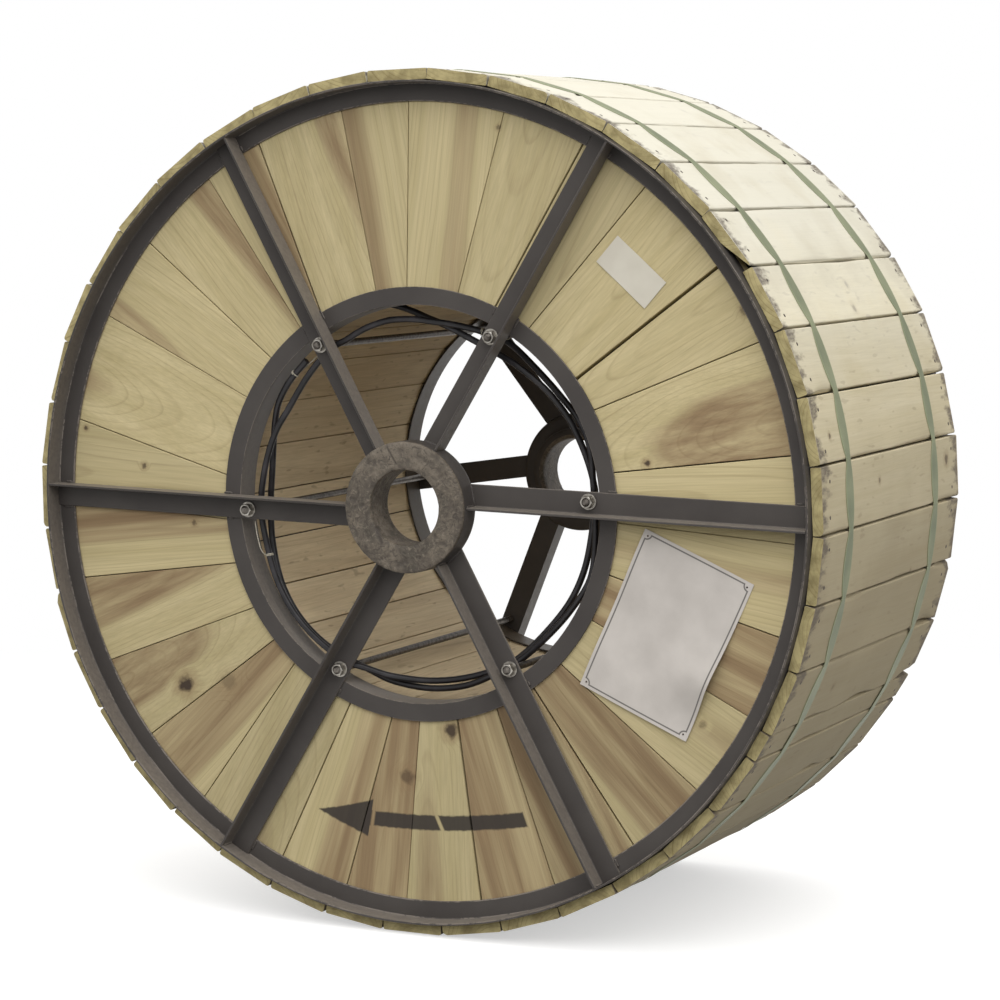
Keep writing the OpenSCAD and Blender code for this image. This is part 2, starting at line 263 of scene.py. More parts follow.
def sawn_wood(name, sap, heart, ring_dark, knots=(), speck=0.0, bump=0.5, grain=1.0):
    """Rough-sawn softwood. Each of the knots is (place, radius, darkness)."""
    material, tree, shader = finish_named(name, Roughness=0.8, IOR=1.45)
    place = add(tree, "Attribute", out="Vector", attribute_name="log")
    board = add(tree, "Attribute", out="Vector", attribute_name="board")
    tint, heart_r, _ = add(tree, "SeparateXYZ", {"Vector": board}).node.outputs
    bent, radius = to_pith(tree, place)
    radius, dark, halo = with_knots(tree, radius, knots)
    laid = add(tree, "Mapping", {"Vector": bent, "Scale": drawn_out(625, 26.32)})
    streak = add(tree, "TexNoise", {"Vector": laid, "Scale": 1.0, "Detail": 3.0})
    laid = add(tree, "Mapping", {"Vector": place, "Scale": drawn_out(142.86, FIBRE)})
    fibre = add(tree, "TexNoise", {"Vector": laid, "Scale": 1.0, "Detail": 3.5, "Roughness": 0.6})
    late = late_wood(tree, radius, tint)

    tone = add(tree, "ValToRGB", {"Fac": streak},
               stops=[(0.25, linear(sap[0])), (0.72, linear(sap[1]))])
    deep = add(tree, "ValToRGB", {"Fac": streak},
               stops=[(0.3, linear(heart[0])), (0.7, linear(heart[1]))])
    brown = heartwood(tree, heart_r, radius, streak)
    colour = add(tree, "Mix", {0: brown, 6: tone, 7: deep}, out=2, data_type="RGBA")
    line = add(tree, "Math", {0: late, 1: ring_dark}, operation="MULTIPLY")
    colour = add(tree, "Mix", {0: line, 6: colour, 7: linear("#755d3d")}, out=2,
                 data_type="RGBA")
    thread = add(tree, "ValToRGB", {"Fac": fibre},
                 stops=[(0.3, grey(1 - 0.16 * grain)), (0.7, grey(1 + 0.08 * grain))])
    colour = add(tree, "Mix", {0: 1.0, 6: colour, 7: thread}, out=2, data_type="RGBA",
                 blend_type="MULTIPLY")
    stains = []
    if speck:
        laid = add(tree, "Mapping", {"Vector": place, "Scale": drawn_out(38.46, 11.11)})
        spots = add(tree, "TexNoise", {"Vector": laid, "Scale": 1.0, "Detail": 1.0})
        spots = add(tree, "ValToRGB", {"Fac": spots},
                    stops=[(0.66, grey(0.0)), (0.74, grey(speck))])
        stains.append((spots, "#5f4a36"))
    if knots:
        stains += [(halo, "#7d6142"), (dark, "#33261e")]
    for share, stain in stains:
        colour = add(tree, "Mix", {0: share, 6: colour, 7: linear(stain)}, out=2,
                     data_type="RGBA")
    shift = add(tree, "MapRange", {"Value": tint, "To Min": 0.9, "To Max": 1.06})
    colour = add(tree, "HueSaturation", {"Color": colour, "Value": shift})

    relief = add(tree, "Math", {0: late, 1: 0.35, 2: fibre}, operation="MULTIPLY_ADD")
    rough = add(tree, "Bump", {"Height": relief, "Strength": bump, "Distance": 0.6 * MM})
    tree.links.new(rough, shader.inputs["Normal"])
    return material, tree, shader, colour, late


# %% [markdown]
# Knots sit where the boards show them: each is given by its angle round the flange, its distance
# from the middle, its radius and how dark it is.

# %% The finish of the flange boards
BOARD_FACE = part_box("front_boards")[0].y
BOARD_KNOTS = [
    (11.7, 421, 6, 0.9), (30, 664, 7, 0.5), (216.4, 556, 15, 0.95), (221.6, 482, 15, 0.3),
    (279.5, 380, 12, 0.9), (267.5, 460, 13, 0.55), (170.5, 652, 4, 0.8), (175.0, 528, 5, 0.7),
    (186.5, 430, 5, 0.6), (76.5, 640, 4, 0.5), (327, 610, 6, 0.4),
]


def round_the_drum(degrees, distance, y):
    """A place given by its angle, its distance from the axis and its place along it."""
    turn = math.radians(degrees)
    return Vector((distance * math.cos(turn), y, distance * math.sin(turn)))


board_pine, board_tree, board_shader, board_colour, _ = sawn_wood(
    "board_pine", ("#c6b88f", "#b3a57b"), ("#a18d6b", "#856f52"), 0.28, grain=0.7,
    knots=[(round_the_drum(a, r * MM, BOARD_FACE), size * MM, dark)
           for a, r, size, dark in BOARD_KNOTS])

# %% [markdown]
# The direction arrow is black paint sprayed through a bent stencil, so it follows the drum's
# roundness, is broken where the stencil's bridges held it together, and has soft edges with the
# grain showing through. It is a mask in the board's own finish, worked out from the angle round
# the drum and the distance from its middle.

# %% The stencilled arrow
ARROW_R = 0.534                        # middle of the shaft at its lowest place
ARROW_FLAT = (273, 0.05 * MM)          # that place, and how the shaft leaves the drum's roundness
ARROW_SHAFT = (261.5, 291.0, 0.0135)   # from and to, in degrees, and half its width
ARROW_HEAD = (250.6, 260.6, 0.033)
ARROW_BRIDGE = (274.4, 0.95)           # where the shaft is broken, and how wide, in degrees
ARROW_LEAN = 42.0                      # how the bridge leans, in degrees a metre outwards
ARROW_TIP = 2 * MM                     # half the width of the head's blunt tip
SPRAY, SPRAY_FUZZ = 2.5 * MM, 4 * MM   # width of the soft edge, and how far it frays


def stencil_arrow(tree, shader, colour):
    spot = add(tree, "TexCoord", out="Object")
    x, y, z = add(tree, "SeparateXYZ", {"Vector": spot}).node.outputs
    turn = add(tree, "Math", {0: z, 1: x}, operation="ARCTAN2")
    turn = add(tree, "Math", {0: turn, 1: 180 / math.pi, 2: 360.0}, operation="MULTIPLY_ADD")
    flat = add(tree, "VectorMath", {0: spot, 1: (1, 0, 1)}, operation="MULTIPLY")
    away = add(tree, "VectorMath", {0: flat}, out="Value", operation="LENGTH")
    from_low = add(tree, "Math", {0: turn, 1: ARROW_FLAT[0]}, operation="SUBTRACT")
    flatter = add(tree, "Math", {0: from_low, 1: from_low}, operation="MULTIPLY")
    out_by = add(tree, "Math", {0: away, 1: ARROW_R}, operation="SUBTRACT")
    out_by = add(tree, "Math", {0: flatter, 1: -ARROW_FLAT[1], 2: out_by},
                 operation="MULTIPLY_ADD")
    off = add(tree, "Math", {0: out_by}, operation="ABSOLUTE")
    fuzz = add(tree, "TexNoise", {"Vector": spot, "Scale": every(8.33), "Detail": 3.0})
    off = add(tree, "Math", {0: fuzz, 1: SPRAY_FUZZ, 2: off}, operation="MULTIPLY_ADD")
    degree = math.radians(1) * ARROW_R

    # Half the arrow's width at each angle: the shaft's, or the head's, which grows from its tip
    start, end, half = ARROW_SHAFT
    tip, base, wing = ARROW_HEAD
    head = add(tree, "MapRange", {
        "Value": turn, "From Min": tip, "From Max": base, "To Min": ARROW_TIP, "To Max": wing})
    beyond = add(tree, "Math", {0: turn, 1: base}, operation="GREATER_THAN")
    width = add(tree, "Mix", {0: beyond, 2: head, 3: half}, data_type="FLOAT")
    inside = add(tree, "Math", {0: width, 1: off}, operation="SUBTRACT")
    reach = None
    for a, b in ((tip, base), (start, end)):
        middle = add(tree, "Math", {0: turn, 1: (a + b) / 2}, operation="SUBTRACT")
        span = add(tree, "Math", {0: middle}, operation="ABSOLUTE")
        left = add(tree, "Math", {0: span, 1: -degree, 2: (b - a) / 2 * degree},
                   operation="MULTIPLY_ADD")
        reach = add(tree, "Math", {0: reach, 1: left}, operation="MAXIMUM") if reach else left
    inside = add(tree, "Math", {0: inside, 1: reach}, operation="MINIMUM")
    at, gap = ARROW_BRIDGE
    bridge = add(tree, "Math", {0: turn, 1: at}, operation="SUBTRACT")
    bridge = add(tree, "Math", {0: out_by, 1: -ARROW_LEAN, 2: bridge}, operation="MULTIPLY_ADD")
    bridge = add(tree, "Math", {0: bridge}, operation="ABSOLUTE")
    bridge = add(tree, "Math", {0: bridge, 1: degree, 2: -gap / 2 * degree},
                 operation="MULTIPLY_ADD")
    inside = add(tree, "Math", {0: inside, 1: bridge}, operation="MINIMUM")
    sprayed = add(tree, "MapRange", {
        "Value": inside, "From Min": -SPRAY, "From Max": 0.4 * MM, "To Max": 0.95})
    outside = add(tree, "Math", {0: y, 1: BOARD_FACE + 36 * MM}, operation="LESS_THAN")
    share = add(tree, "Math", {0: sprayed, 1: outside}, operation="MULTIPLY")
    painted = add(tree, "Mix", {0: share, 6: colour, 7: linear("#2f2a27")}, out=2,
                  data_type="RGBA")
    tree.links.new(painted, shader.inputs["Base Color"])


stencil_arrow(board_tree, board_shader, board_colour)
print("The arrow's middle lies", ARROW_R, "m from the axis")

# %% [markdown]
# The staves inside the barrel are older, browner wood with dark specks. The lagging planks are
# the palest: fresh sapwood with little heartwood. Both are sawn pine, matt and dry, so only the
# colours, the knots and the strength of the grain differ from the boards.

# %% The finishes of staves and planks
stave_pine, stave_tree, stave_shader, stave_colour, _ = sawn_wood(
    "stave_pine", ("#d7c5a2", "#c3af8d"), ("#b49a79", "#9c8163"), 0.2, speck=0.35, grain=0.8)
stave_tree.links.new(stave_colour, stave_shader.inputs["Base Color"])

PLANK_FACE = 717.8 * MM  # distance from the axis to just under the planks' outer faces
PLANK_KNOTS = [          # angle, millimetres along the drum, radius, darkness
    (10.9, -292, 5, 0.8), (3.8, -73, 5, 0.7), (4.3, 296, 9, 0.9), (-6.0, 218, 7, 0.6),
    (-9.8, 122, 4, 0.6), (30.4, 34, 6, 0.45), (26.9, 12, 7, 0.5), (41, -180, 6, 0.3),
    (66, 120, 8, 0.35), (-24, -120, 6, 0.6), (120, -60, 7, 0.6), (152, 140, 8, 0.7),
    (188, -200, 6, 0.7), (214, 60, 9, 0.7), (243, -90, 7, 0.6), (95, 210, 6, 0.5),
]
plank_pine, plank_tree, plank_shader, plank_colour, plank_rings = sawn_wood(
    "plank_pine", ("#d5cbae", "#c8bd9c"), ("#c3b391", "#b1a07e"), 0.1, speck=0.25, bump=0.3,
    grain=0.45, knots=[(round_the_drum(a, PLANK_FACE, y * MM), size * MM, dark)
                       for a, y, size, dark in PLANK_KNOTS])

# %% [markdown]
# The planks were stacked and handled, which left dirt near their ends. It reaches in by 10 to
# 50 mm with a ragged edge, most on a plank's upper corner, where rain leaves it, and is rubbed
# off the very edge. It is worked out as how far the noise pushes the dirt past each point.

# %% Dirt at the planks' ends
PLANK_HALF = (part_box("lagging_planks")[1].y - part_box("lagging_planks")[0].y) / 2


def dirt_near_ends(tree, along, patch, fine):
    """The share of dirt, from the place along the drum and two kinds of noise."""
    board = add(tree, "Attribute", out="Vector", attribute_name="board")
    side = add(tree, "SeparateXYZ", {"Vector": board}, out="Z")
    from_end = add(tree, "Math", {0: along}, operation="ABSOLUTE")
    from_end = add(tree, "Math", {0: PLANK_HALF, 1: from_end}, operation="SUBTRACT")
    corner = add(tree, "MapRange", {
        "Value": side, "From Min": 0.2, "From Max": 1.0, "To Min": -70 * MM, "To Max": -52 * MM})
    reach = add(tree, "Math", {0: patch, 1: 170 * MM, 2: corner}, operation="MULTIPLY_ADD")
    reach = add(tree, "Math", {0: reach, 1: from_end}, operation="SUBTRACT")
    dirt = add(tree, "MapRange", {
        "Value": reach, "From Min": -14 * MM, "From Max": 9 * MM, "To Max": 0.9})
    rubbed = add(tree, "MapRange", {
        "Value": from_end, "From Min": 2 * MM, "From Max": 6 * MM, "To Min": 0.3, "To Max": 1.0})
    broken = add(tree, "MapRange", {
        "Value": fine, "From Min": 0.35, "From Max": 0.6, "To Min": 0.65, "To Max": 1.0})
    dirt = add(tree, "Math", {0: dirt, 1: rubbed}, operation="MULTIPLY")
    return add(tree, "Math", {0: dirt, 1: broken}, operation="MULTIPLY")


# %% [markdown]
# The upper planks are paler, and the lower ones darker and browner. End grain drinks
# the light and looks yellower, with the rings as close lines. Which faces are end grain follows
# from where a face looks: along the drum.

# %% The planks' weather


def weathered(tree, shader, colour, rings):
    """Planks marked by rain and hands, paler towards the top and darker towards the bottom."""
    coordinates = add(tree, "TexCoord").node.outputs
    spot = coordinates["Object"]
    _, y, z = add(tree, "SeparateXYZ", {"Vector": spot}).node.outputs
    broad = add(tree, "TexNoise", {"Vector": spot, "Scale": every(167), "Detail": 4.0})
    laid = add(tree, "Mapping", {"Vector": spot, "Scale": (1.0, 0.35, 1.0)})
    patch = add(tree, "TexNoise", {
        "Vector": laid, "Scale": every(23.8), "Detail": 5.0, "Roughness": 0.6})
    fine = add(tree, "TexNoise", {"Vector": laid, "Scale": every(5), "Detail": 3.0})
    height = add(tree, "Math", {0: broad, 1: 0.3, 2: z}, operation="MULTIPLY_ADD")
    # Paler towards the top, and darker and browner towards the bottom
    paler_high = add(tree, "MapRange", {
        "Value": height, "From Min": 0.32, "From Max": 0.62, "To Max": 0.75})
    darker_low = add(tree, "MapRange", {
        "Value": height, "From Min": 0.48, "From Max": 0.03, "To Max": 0.7})
    stain = add(tree, "MapRange", {
        "Value": broad, "From Min": 0.5, "From Max": 0.68, "To Max": 0.3})
    dirt = dirt_near_ends(tree, y, patch, fine)
    for share, tone in ((paler_high, "#c9c7bc"), (darker_low, "#83755a"), (stain, "#a89c7f"),
                        (dirt, "#5c5247")):
        colour = add(tree, "Mix", {0: share, 6: colour, 7: linear(tone)}, out=2,
                     data_type="RGBA")

    facing = add(tree, "SeparateXYZ", {"Vector": coordinates["Normal"]}, out="Y")
    facing = add(tree, "Math", {0: facing}, operation="ABSOLUTE")
    end_grain = add(tree, "MapRange", {"Value": facing, "From Min": 0.75, "From Max": 0.95})
    lines = add(tree, "Math", {0: rings, 1: 0.75}, operation="MULTIPLY")
    cut = add(tree, "ValToRGB", {"Fac": patch},
              stops=[(0.35, linear("#8d815a")), (0.6, linear("#b5a87a"))])
    cut = add(tree, "Mix", {0: lines, 6: cut, 7: linear("#7c6c44")}, out=2, data_type="RGBA")
    whole = add(tree, "Mix", {0: end_grain, 6: colour, 7: cut}, out=2, data_type="RGBA")
    tree.links.new(whole, shader.inputs["Base Color"])
    print("The planks are weathered; their ends are", round(PLANK_HALF, 3), "m from the middle")


weathered(plank_tree, plank_shader, plank_colour, plank_rings)

# %% [markdown]
# The frame is mild steel angle brushed with a black alkyd enamel that has dulled to a dark warm
# grey. Handling has scuffed it, most of all on the edges, where the grey of the steel comes
# through. The edges are a second material, which the rounding of the edges gives to its own
# narrow faces. The standing legs are painted paler, most on upward faces: painted light from the
# sky, mixed with some dust.

# %% Painted steel


def painted_steel(name, paint, scuff, amount):
    """Dulled black enamel on steel, with scuffs: amount is the share of the surface scuffed."""
    material, tree, shader = finish_named(name, IOR=1.5, Specular_IOR_Level=0.2)
    spot = add(tree, "TexCoord", out="Object")
    cloud = add(tree, "TexNoise", {"Vector": spot, "Scale": every(111), "Detail": 5.0})
    fine = add(tree, "TexNoise", {
        "Vector": spot, "Scale": every(7.14), "Detail": 4.0, "Roughness": 0.7})
    worn = add(tree, "Math", {0: fine, 1: cloud}, operation="ADD")
    worn = add(tree, "ValToRGB", {"Fac": worn},
               stops=[(1.1 - amount, grey(0.0)), (1.22 - amount, grey(0.8))])
    base = add(tree, "ValToRGB", {"Fac": cloud},
               stops=[(0.3, linear(paint[0])), (0.7, linear(paint[1]))])
    colour = add(tree, "Mix", {0: worn, 6: base, 7: linear(scuff)}, out=2, data_type="RGBA")

    # Painted light and dust: the legs' faces that don't look away from the axis are made paler, most
    # on top, as if lit by the sky; paler on the front flange, browner at the back
    side = add(tree, "TexCoord", out="Normal")
    _, forwards, upwards = add(tree, "SeparateXYZ", {"Vector": side}).node.outputs
    flat = add(tree, "VectorMath", {0: spot, 1: (1, 0, 1)}, operation="MULTIPLY")
    flat = add(tree, "VectorMath", {0: flat}, operation="NORMALIZE")
    outwards = add(tree, "VectorMath", {0: flat, 1: side}, out="Value", operation="DOT_PRODUCT")
    inside = add(tree, "MapRange", {"Value": outwards, "From Min": 0.5, "From Max": 0.2})
    flat = add(tree, "Math", {0: forwards}, operation="ABSOLUTE")
    leg = add(tree, "MapRange", {"Value": flat, "From Min": 0.8, "From Max": 0.4})
    top = add(tree, "MapRange", {
        "Value": upwards, "From Min": -0.6, "From Max": 0.9, "To Min": 0.5, "To Max": 0.9})
    _, depth, _ = add(tree, "SeparateXYZ", {"Vector": spot}).node.outputs
    front = add(tree, "Math", {0: depth, 1: 0.0}, operation="LESS_THAN")
    streaks = add(tree, "MapRange", {
        "Value": fine, "From Min": 0.3, "From Max": 0.7, "To Min": 0.5, "To Max": 1.0})
    # dust here is the share of painted light, with some dust, on the legs
    dust = add(tree, "Math", {0: leg, 1: top}, operation="MULTIPLY")
    dust = add(tree, "Math", {0: dust, 1: inside}, operation="MULTIPLY")
    leg_light_and_dust_colour = add(tree, "Mix", {0: front, 6: linear("#5b5040"), 7: linear("#857d74")}, out=2,
                data_type="RGBA")
    dust = add(tree, "Math", {0: dust, 1: streaks}, operation="MULTIPLY")
    # The legs' painted light and dust go onto the paint
    colour = add(tree, "Mix", {0: dust, 6: colour, 7: leg_light_and_dust_colour}, out=2, data_type="RGBA")
    tree.links.new(colour, shader.inputs["Base Color"])
    shine = add(tree, "ValToRGB", {"Fac": fine}, stops=[(0.3, grey(0.36)), (0.7, grey(0.52))])
    tree.links.new(shine, shader.inputs["Roughness"])
    uneven = add(tree, "Bump", {"Height": fine, "Strength": 0.25, "Distance": 0.3 * MM})
    tree.links.new(uneven, shader.inputs["Normal"])
    return material


black_enamel = painted_steel("black_enamel", ("#403c3a", "#4b4744"), "#736b64", 0.02)
scuffed_edge = painted_steel("scuffed_edge", ("#433f3c", "#4f4a46"), "#7a726a", 0.14)

# %% [markdown]
# The hub is a thick ring cut and turned from heavy steel tube. Its face was left bare: mill scale
# gone brown and grey, rubbed by the spindle, with pits that hold dirt. Small pale specks on it are
# painted highlights, and it is paler towards the top. It is made as a turned mesh, closely divided,
# so that its rough surface is real and shows at its outline.

# %% Hub steel


def hub_steel():
    material, tree, shader = finish_named("hub_steel", Roughness=0.62, Specular_IOR_Level=0.4)
    spot = add(tree, "TexCoord", out="Object")
    hollow = add(tree, "Attribute", out="Fac", attribute_name="hollow")
    cloud = add(tree, "TexNoise", {
        "Vector": spot, "Scale": every(33.33), "Detail": 7.0, "Roughness": 0.6, "Distortion": 1.0})
    fine = add(tree, "TexNoise", {
        "Vector": spot, "Scale": every(11.76), "Detail": 5.0, "Roughness": 0.65, "Distortion": 2.2})
    tone = add(tree, "ValToRGB", {"Fac": cloud}, stops=[
        (0.36, linear("#4a443b")), (0.5, linear("#5a5248")), (0.64, linear("#6b6256"))])
    # Small pale specks: painted highlights of the rough face
    speck_highlights = add(tree, "ValToRGB", {"Fac": fine}, stops=[(0.54, grey(0.0)), (0.66, grey(0.6))])
    height = add(tree, "SeparateXYZ", {"Vector": spot}, out="Z")
    # The face is paler towards the top
    paler_towards_top = add(tree, "MapRange", {
        "Value": height, "From Min": 0.02, "From Max": 0.11, "To Max": 0.35})
    pits = add(tree, "ValToRGB", {"Fac": fine}, stops=[(0.36, grey(0.7)), (0.46, grey(0.0))])
    pits = add(tree, "Math", {0: pits, 1: hollow}, operation="MAXIMUM")
    colour = tone
    for share, stain in ((speck_highlights, "#877d6f"), (paler_towards_top, "#857b6e"), (pits, "#332c27")):
        colour = add(tree, "Mix", {0: share, 6: colour, 7: linear(stain)}, out=2,
                     data_type="RGBA")
    tree.links.new(colour, shader.inputs["Base Color"])
    relief = add(tree, "Math", {0: cloud, 1: 2.0, 2: fine}, operation="MULTIPLY_ADD")
    rough = add(tree, "Bump", {"Height": relief, "Strength": 0.9, "Distance": 1.2 * MM})
    tree.links.new(rough, shader.inputs["Normal"])
    return material


hub_bare = hub_steel()

# %% [markdown]
# Nuts and washers are zinc-plated steel, shiny but not mirror-bright; the rods are plain
# galvanised bar gone dull. Metals keep their default IOR.

# %% Zinc


def zinc_plate(name, light, dark, roughness):
    material, tree, shader = finish_named(name, Metallic=1.0, Roughness=roughness)
    spot = add(tree, "TexCoord", out="Object")
    cloud = add(tree, "TexNoise", {"Vector": spot, "Scale": every(6.25), "Detail": 4.0})
    colour = add(tree, "ValToRGB", {"Fac": cloud},
                 stops=[(0.35, linear(dark)), (0.62, linear(light))])
    tree.links.new(colour, shader.inputs["Base Color"])
    return material


bright_zinc = zinc_plate("bright_zinc", "#aaa69e", "#77726b", 0.4)
dull_zinc = zinc_plate("dull_zinc", "#6f6a64", "#4a4541", 0.5)

# %% [markdown]
# The straps are embossed polyester strapping: a tough green plastic with a fine diamond pattern
# rolled into it, a little shiny, with both edges painted paler as a highlight. The cable's jacket
# is extruded black polyethylene, smooth, with a long soft highlight.

# %% Plastics


def green_strapping():
    material, tree, shader = finish_named("green_strapping", Roughness=0.5, IOR=1.57,
                                          Specular_IOR_Level=0.3)
    spot = add(tree, "TexCoord", out="Object")
    cloud = add(tree, "TexNoise", {"Vector": spot, "Scale": every(71.4), "Detail": 4.0})
    colour = add(tree, "ValToRGB", {"Fac": cloud},
                 stops=[(0.3, linear("#5d6446")), (0.7, linear("#7b805f"))])
    across = add(tree, "Attribute", out="Vector", attribute_name="across")
    edge = add(tree, "VectorMath", {0: across}, out="Value", operation="LENGTH")
    # Both edges are painted paler: a painted highlight
    rubbed = add(tree, "MapRange", {
        "Value": edge, "From Min": 0.78, "From Max": 0.96, "To Max": 0.55})
    colour = add(tree, "Mix", {0: rubbed, 6: colour, 7: linear("#989d7b")}, out=2,
                 data_type="RGBA")
    tree.links.new(colour, shader.inputs["Base Color"])
    emboss = add(tree, "TexVoronoi", {"Vector": spot, "Scale": every(3.03)}, out="Distance")
    relief = add(tree, "Bump", {"Height": emboss, "Strength": 0.35, "Distance": 0.3 * MM})
    tree.links.new(relief, shader.inputs["Normal"])
    return material


def cable_jacket():
    material, tree, shader = finish_named("black_jacket", Roughness=0.4, IOR=1.5,
                                          Specular_IOR_Level=0.35)
    spot = add(tree, "TexCoord", out="Object")
    dust = add(tree, "TexNoise", {"Vector": spot, "Scale": every(33.3), "Detail": 5.0})
    colour = add(tree, "ValToRGB", {"Fac": dust},
                 stops=[(0.45, linear("#1a181a")), (0.75, linear("#343134"))])
    tree.links.new(colour, shader.inputs["Base Color"])
    return material


strapping = green_strapping()
jacket = cable_jacket()

# %% [markdown]
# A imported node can't be changed, so each piece that needs worn edges is a copy that stands for
# its node. The copy is welded and its flat faces are made whole. A node's separate boards are
# told apart as groups of points that hang together.

# %% Helpers for shapes


def shape_of(node, whole_faces=True):
    """The node's shape as an editable mesh, its corners welded."""
    shape = bmesh.new()
    shape.from_mesh(nodes[node].data)
    bmesh.ops.remove_doubles(shape, verts=shape.verts, dist=0.01 * MM)
    if whole_faces:
        bmesh.ops.dissolve_limit(
            shape, angle_limit=math.radians(0.4), verts=shape.verts, edges=shape.edges)
    return shape


def middle_of(points):
    return sum((p.co for p in points), Vector()) / len(points)


def angle_of(point):
    """Angle round the drum's axis, in radians from 0 to a full turn."""
    return math.atan2(point.z, point.x) % math.tau


def directions(angle):
    """The directions away from the axis and round the drum, at an angle."""
    return (Vector((math.cos(angle), 0, math.sin(angle))),
            Vector((-math.sin(angle), 0, math.cos(angle))))


def separate_pieces(shape):
    """Groups of points that hang together, in the order of their angle round the drum."""
    seen, groups = set(), []
    for first in shape.verts:
        if first in seen:
            continue
        seen.add(first)
        group = [first]
        for point in group:
            for edge in point.link_edges:
                other = edge.other_vert(point)
                if other not in seen:
                    seen.add(other)
                    group.append(other)
        groups.append(group)
    return sorted(groups, key=lambda g: angle_of(middle_of(g)))


def blocks_of(node):
    """The corners of each separate piece of a node, in the order of their angle."""
    shape = shape_of(node, whole_faces=False)
    blocks = [[p.co.copy() for p in group] for group in separate_pieces(shape)]
    shape.free()
    return blocks


def centre_of(block):
    return sum(block, Vector()) / len(block)


# %% [markdown]
# No real edge is perfectly sharp, and a rounded one catches a thin line of light. So the copies'
# sharp edges are rounded, and every finished shape becomes a piece that rides on the reel and
# stands for its node.

# %% Helpers for pieces


def round_edges(shape, size, worn=0, steps=2):
    """Rounds the sharp edges; the new faces get the material with the number worn."""
    sharp = [e for e in shape.edges
             if len(e.link_faces) == 2 and e.calc_face_angle() > math.radians(30)]
    bmesh.ops.bevel(shape, geom=sharp, offset=size, segments=steps, profile=0.5,
                    affect="EDGES", clamp_overlap=True, material=worn)


def drawn_piece(shape, *rest, **choices):
    """A piece from a shape that was drawn here, whose faces still have to be turned outwards."""
    bmesh.ops.recalc_face_normals(shape, faces=shape.faces)
    return to_piece(shape, *rest, **choices)


def to_piece(shape, name, materials, slot, node=None, smooth=35):
    """Turns the shape into a piece that rides on the reel and stands for its node."""
    mesh = bpy.data.meshes.new(name)
    shape.normal_update()
    shape.to_mesh(mesh)
    shape.free()
    for material in materials:
        mesh.materials.append(material)
    mesh.shade_smooth()
    mesh.set_sharp_from_angle(angle=math.radians(smooth))
    piece = new_object(name, mesh)
    flat = piece.modifiers.new("flat_faces_stay_flat", "WEIGHTED_NORMAL")
    flat.keep_sharp = True
    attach(piece, "root")
    if node:
        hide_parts(node)
    triangles = sum(len(f.vertices) - 2 for f in mesh.polygons)
    print(f"{name}: {triangles} triangles")
    return piece


# %% [markdown]
# Where each flange board was cut from its log is chosen board by board, starting from
# the one above the right-hand spoke and going anticlockwise: how far the pith lies to the side of
# the board's middle at the rim and at the ring, how deep it lies there, and how thick the
# heartwood is. A pith that sinks towards the ring makes the brown run out in a point.

# %% Flange boards
# side at the rim, side at the ring, depth at the rim, depth at the ring, heartwood radius
BOARD_CUTS = [
    (0, 0, 90, 90, 30), (-42, -30, 20, 92, 78), (20, 10, 35, 60, 20), (0, 0, 22, 48, 0),
    (-30, -20, 60, 62, 36), (10, 0, 70, 90, 50), (-24, -22, 33, 37, 40), (46, 22, 28, 36, 42),
    (-78, -62, 25, 62, 50), (-50, -40, 20, 32, 46), (-88, -74, 16, 46, 60),
    (74, 54, 20, 52, 38), (24, 18, 30, 92, 42), (0, 0, 55, 60, 30), (-60, -46, 20, 22, 56),
    (-52, -56, 20, 52, 56), (-40, -30, 10, 78, 58), (-18, -18, 12, 16, 52),
    (52, 30, 45, 80, 50), (20, 28, 30, 34, 44), (0, 0, 12, 20, 68), (-32, -10, 26, 42, 36),
    (20, 10, 12, 16, 108), (0, 0, 22, 40, 76), (22, 12, 10, 22, 62), (30, 10, 44, 60, 50),
    (0, 0, 15, 26, 84), (10, 10, 30, 34, 34),
]
FACE_PLAY = 1.0 * MM     # how much thinner than its neighbours a board may be


def flange_boards(node, name, seed, cuts):
    """The radial boards of one flange."""
    dice = random.Random(seed)
    shape = shape_of(node)
    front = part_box(node)[0].y < 0
    face_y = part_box(node)[0].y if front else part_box(node)[1].y
    inwards = 1 if front else -1
    groups = separate_pieces(shape)
    for group in groups:
        thinner = dice.uniform(0, FACE_PLAY)
        for point in group:
            if abs(point.co.y - face_y) < 1 * MM:
                point.co.y += inwards * thinner
    round_edges(shape, 1.3 * MM)
    log = shape.verts.layers.float_vector.new("log")
    board = shape.verts.layers.float_vector.new("board")
    reach = [math.hypot(p.co.x, p.co.z) for p in shape.verts]
    inner, outer = min(reach), max(reach)
    groups = separate_pieces(shape)
    for number, group in enumerate(groups):
        angle = angle_of(middle_of(group))
        along, across = directions(angle)
        cut = cuts[number % len(cuts)]
        start, tint = dice.uniform(0, 40), dice.random()
        for point in group:
            u = point.co.dot(along)
            share = (u - inner) / (outer - inner)
            side = (cut[0] * share + cut[1] * (1 - share)) * MM
            deep = (cut[2] * share + cut[3] * (1 - share)) * MM
            deep += (point.co.y - face_y) * inwards
            point[log] = Vector((u + start, point.co.dot(across) - side, deep))
            point[board] = Vector((tint, cut[4] * MM, 0))
    print(name, "has", len(groups), "boards")
    return to_piece(shape, name, [board_pine], "board_pine", node)


flange_boards("front_boards", "front_flange_boards", 3, BOARD_CUTS)
flange_boards("back_boards", "back_flange_boards", 8, BOARD_CUTS[11:] + BOARD_CUTS[:11])

# %% [markdown]
# The staves run from flange to flange, so their grain lies along the drum's axis. Like the
# boards they are copies with softened edges, and each has its own place in its log.

# %% Staves
STAVE_SHRUNK = 0.3 * MM  # the wood has dried, and each edge has drawn back by this much


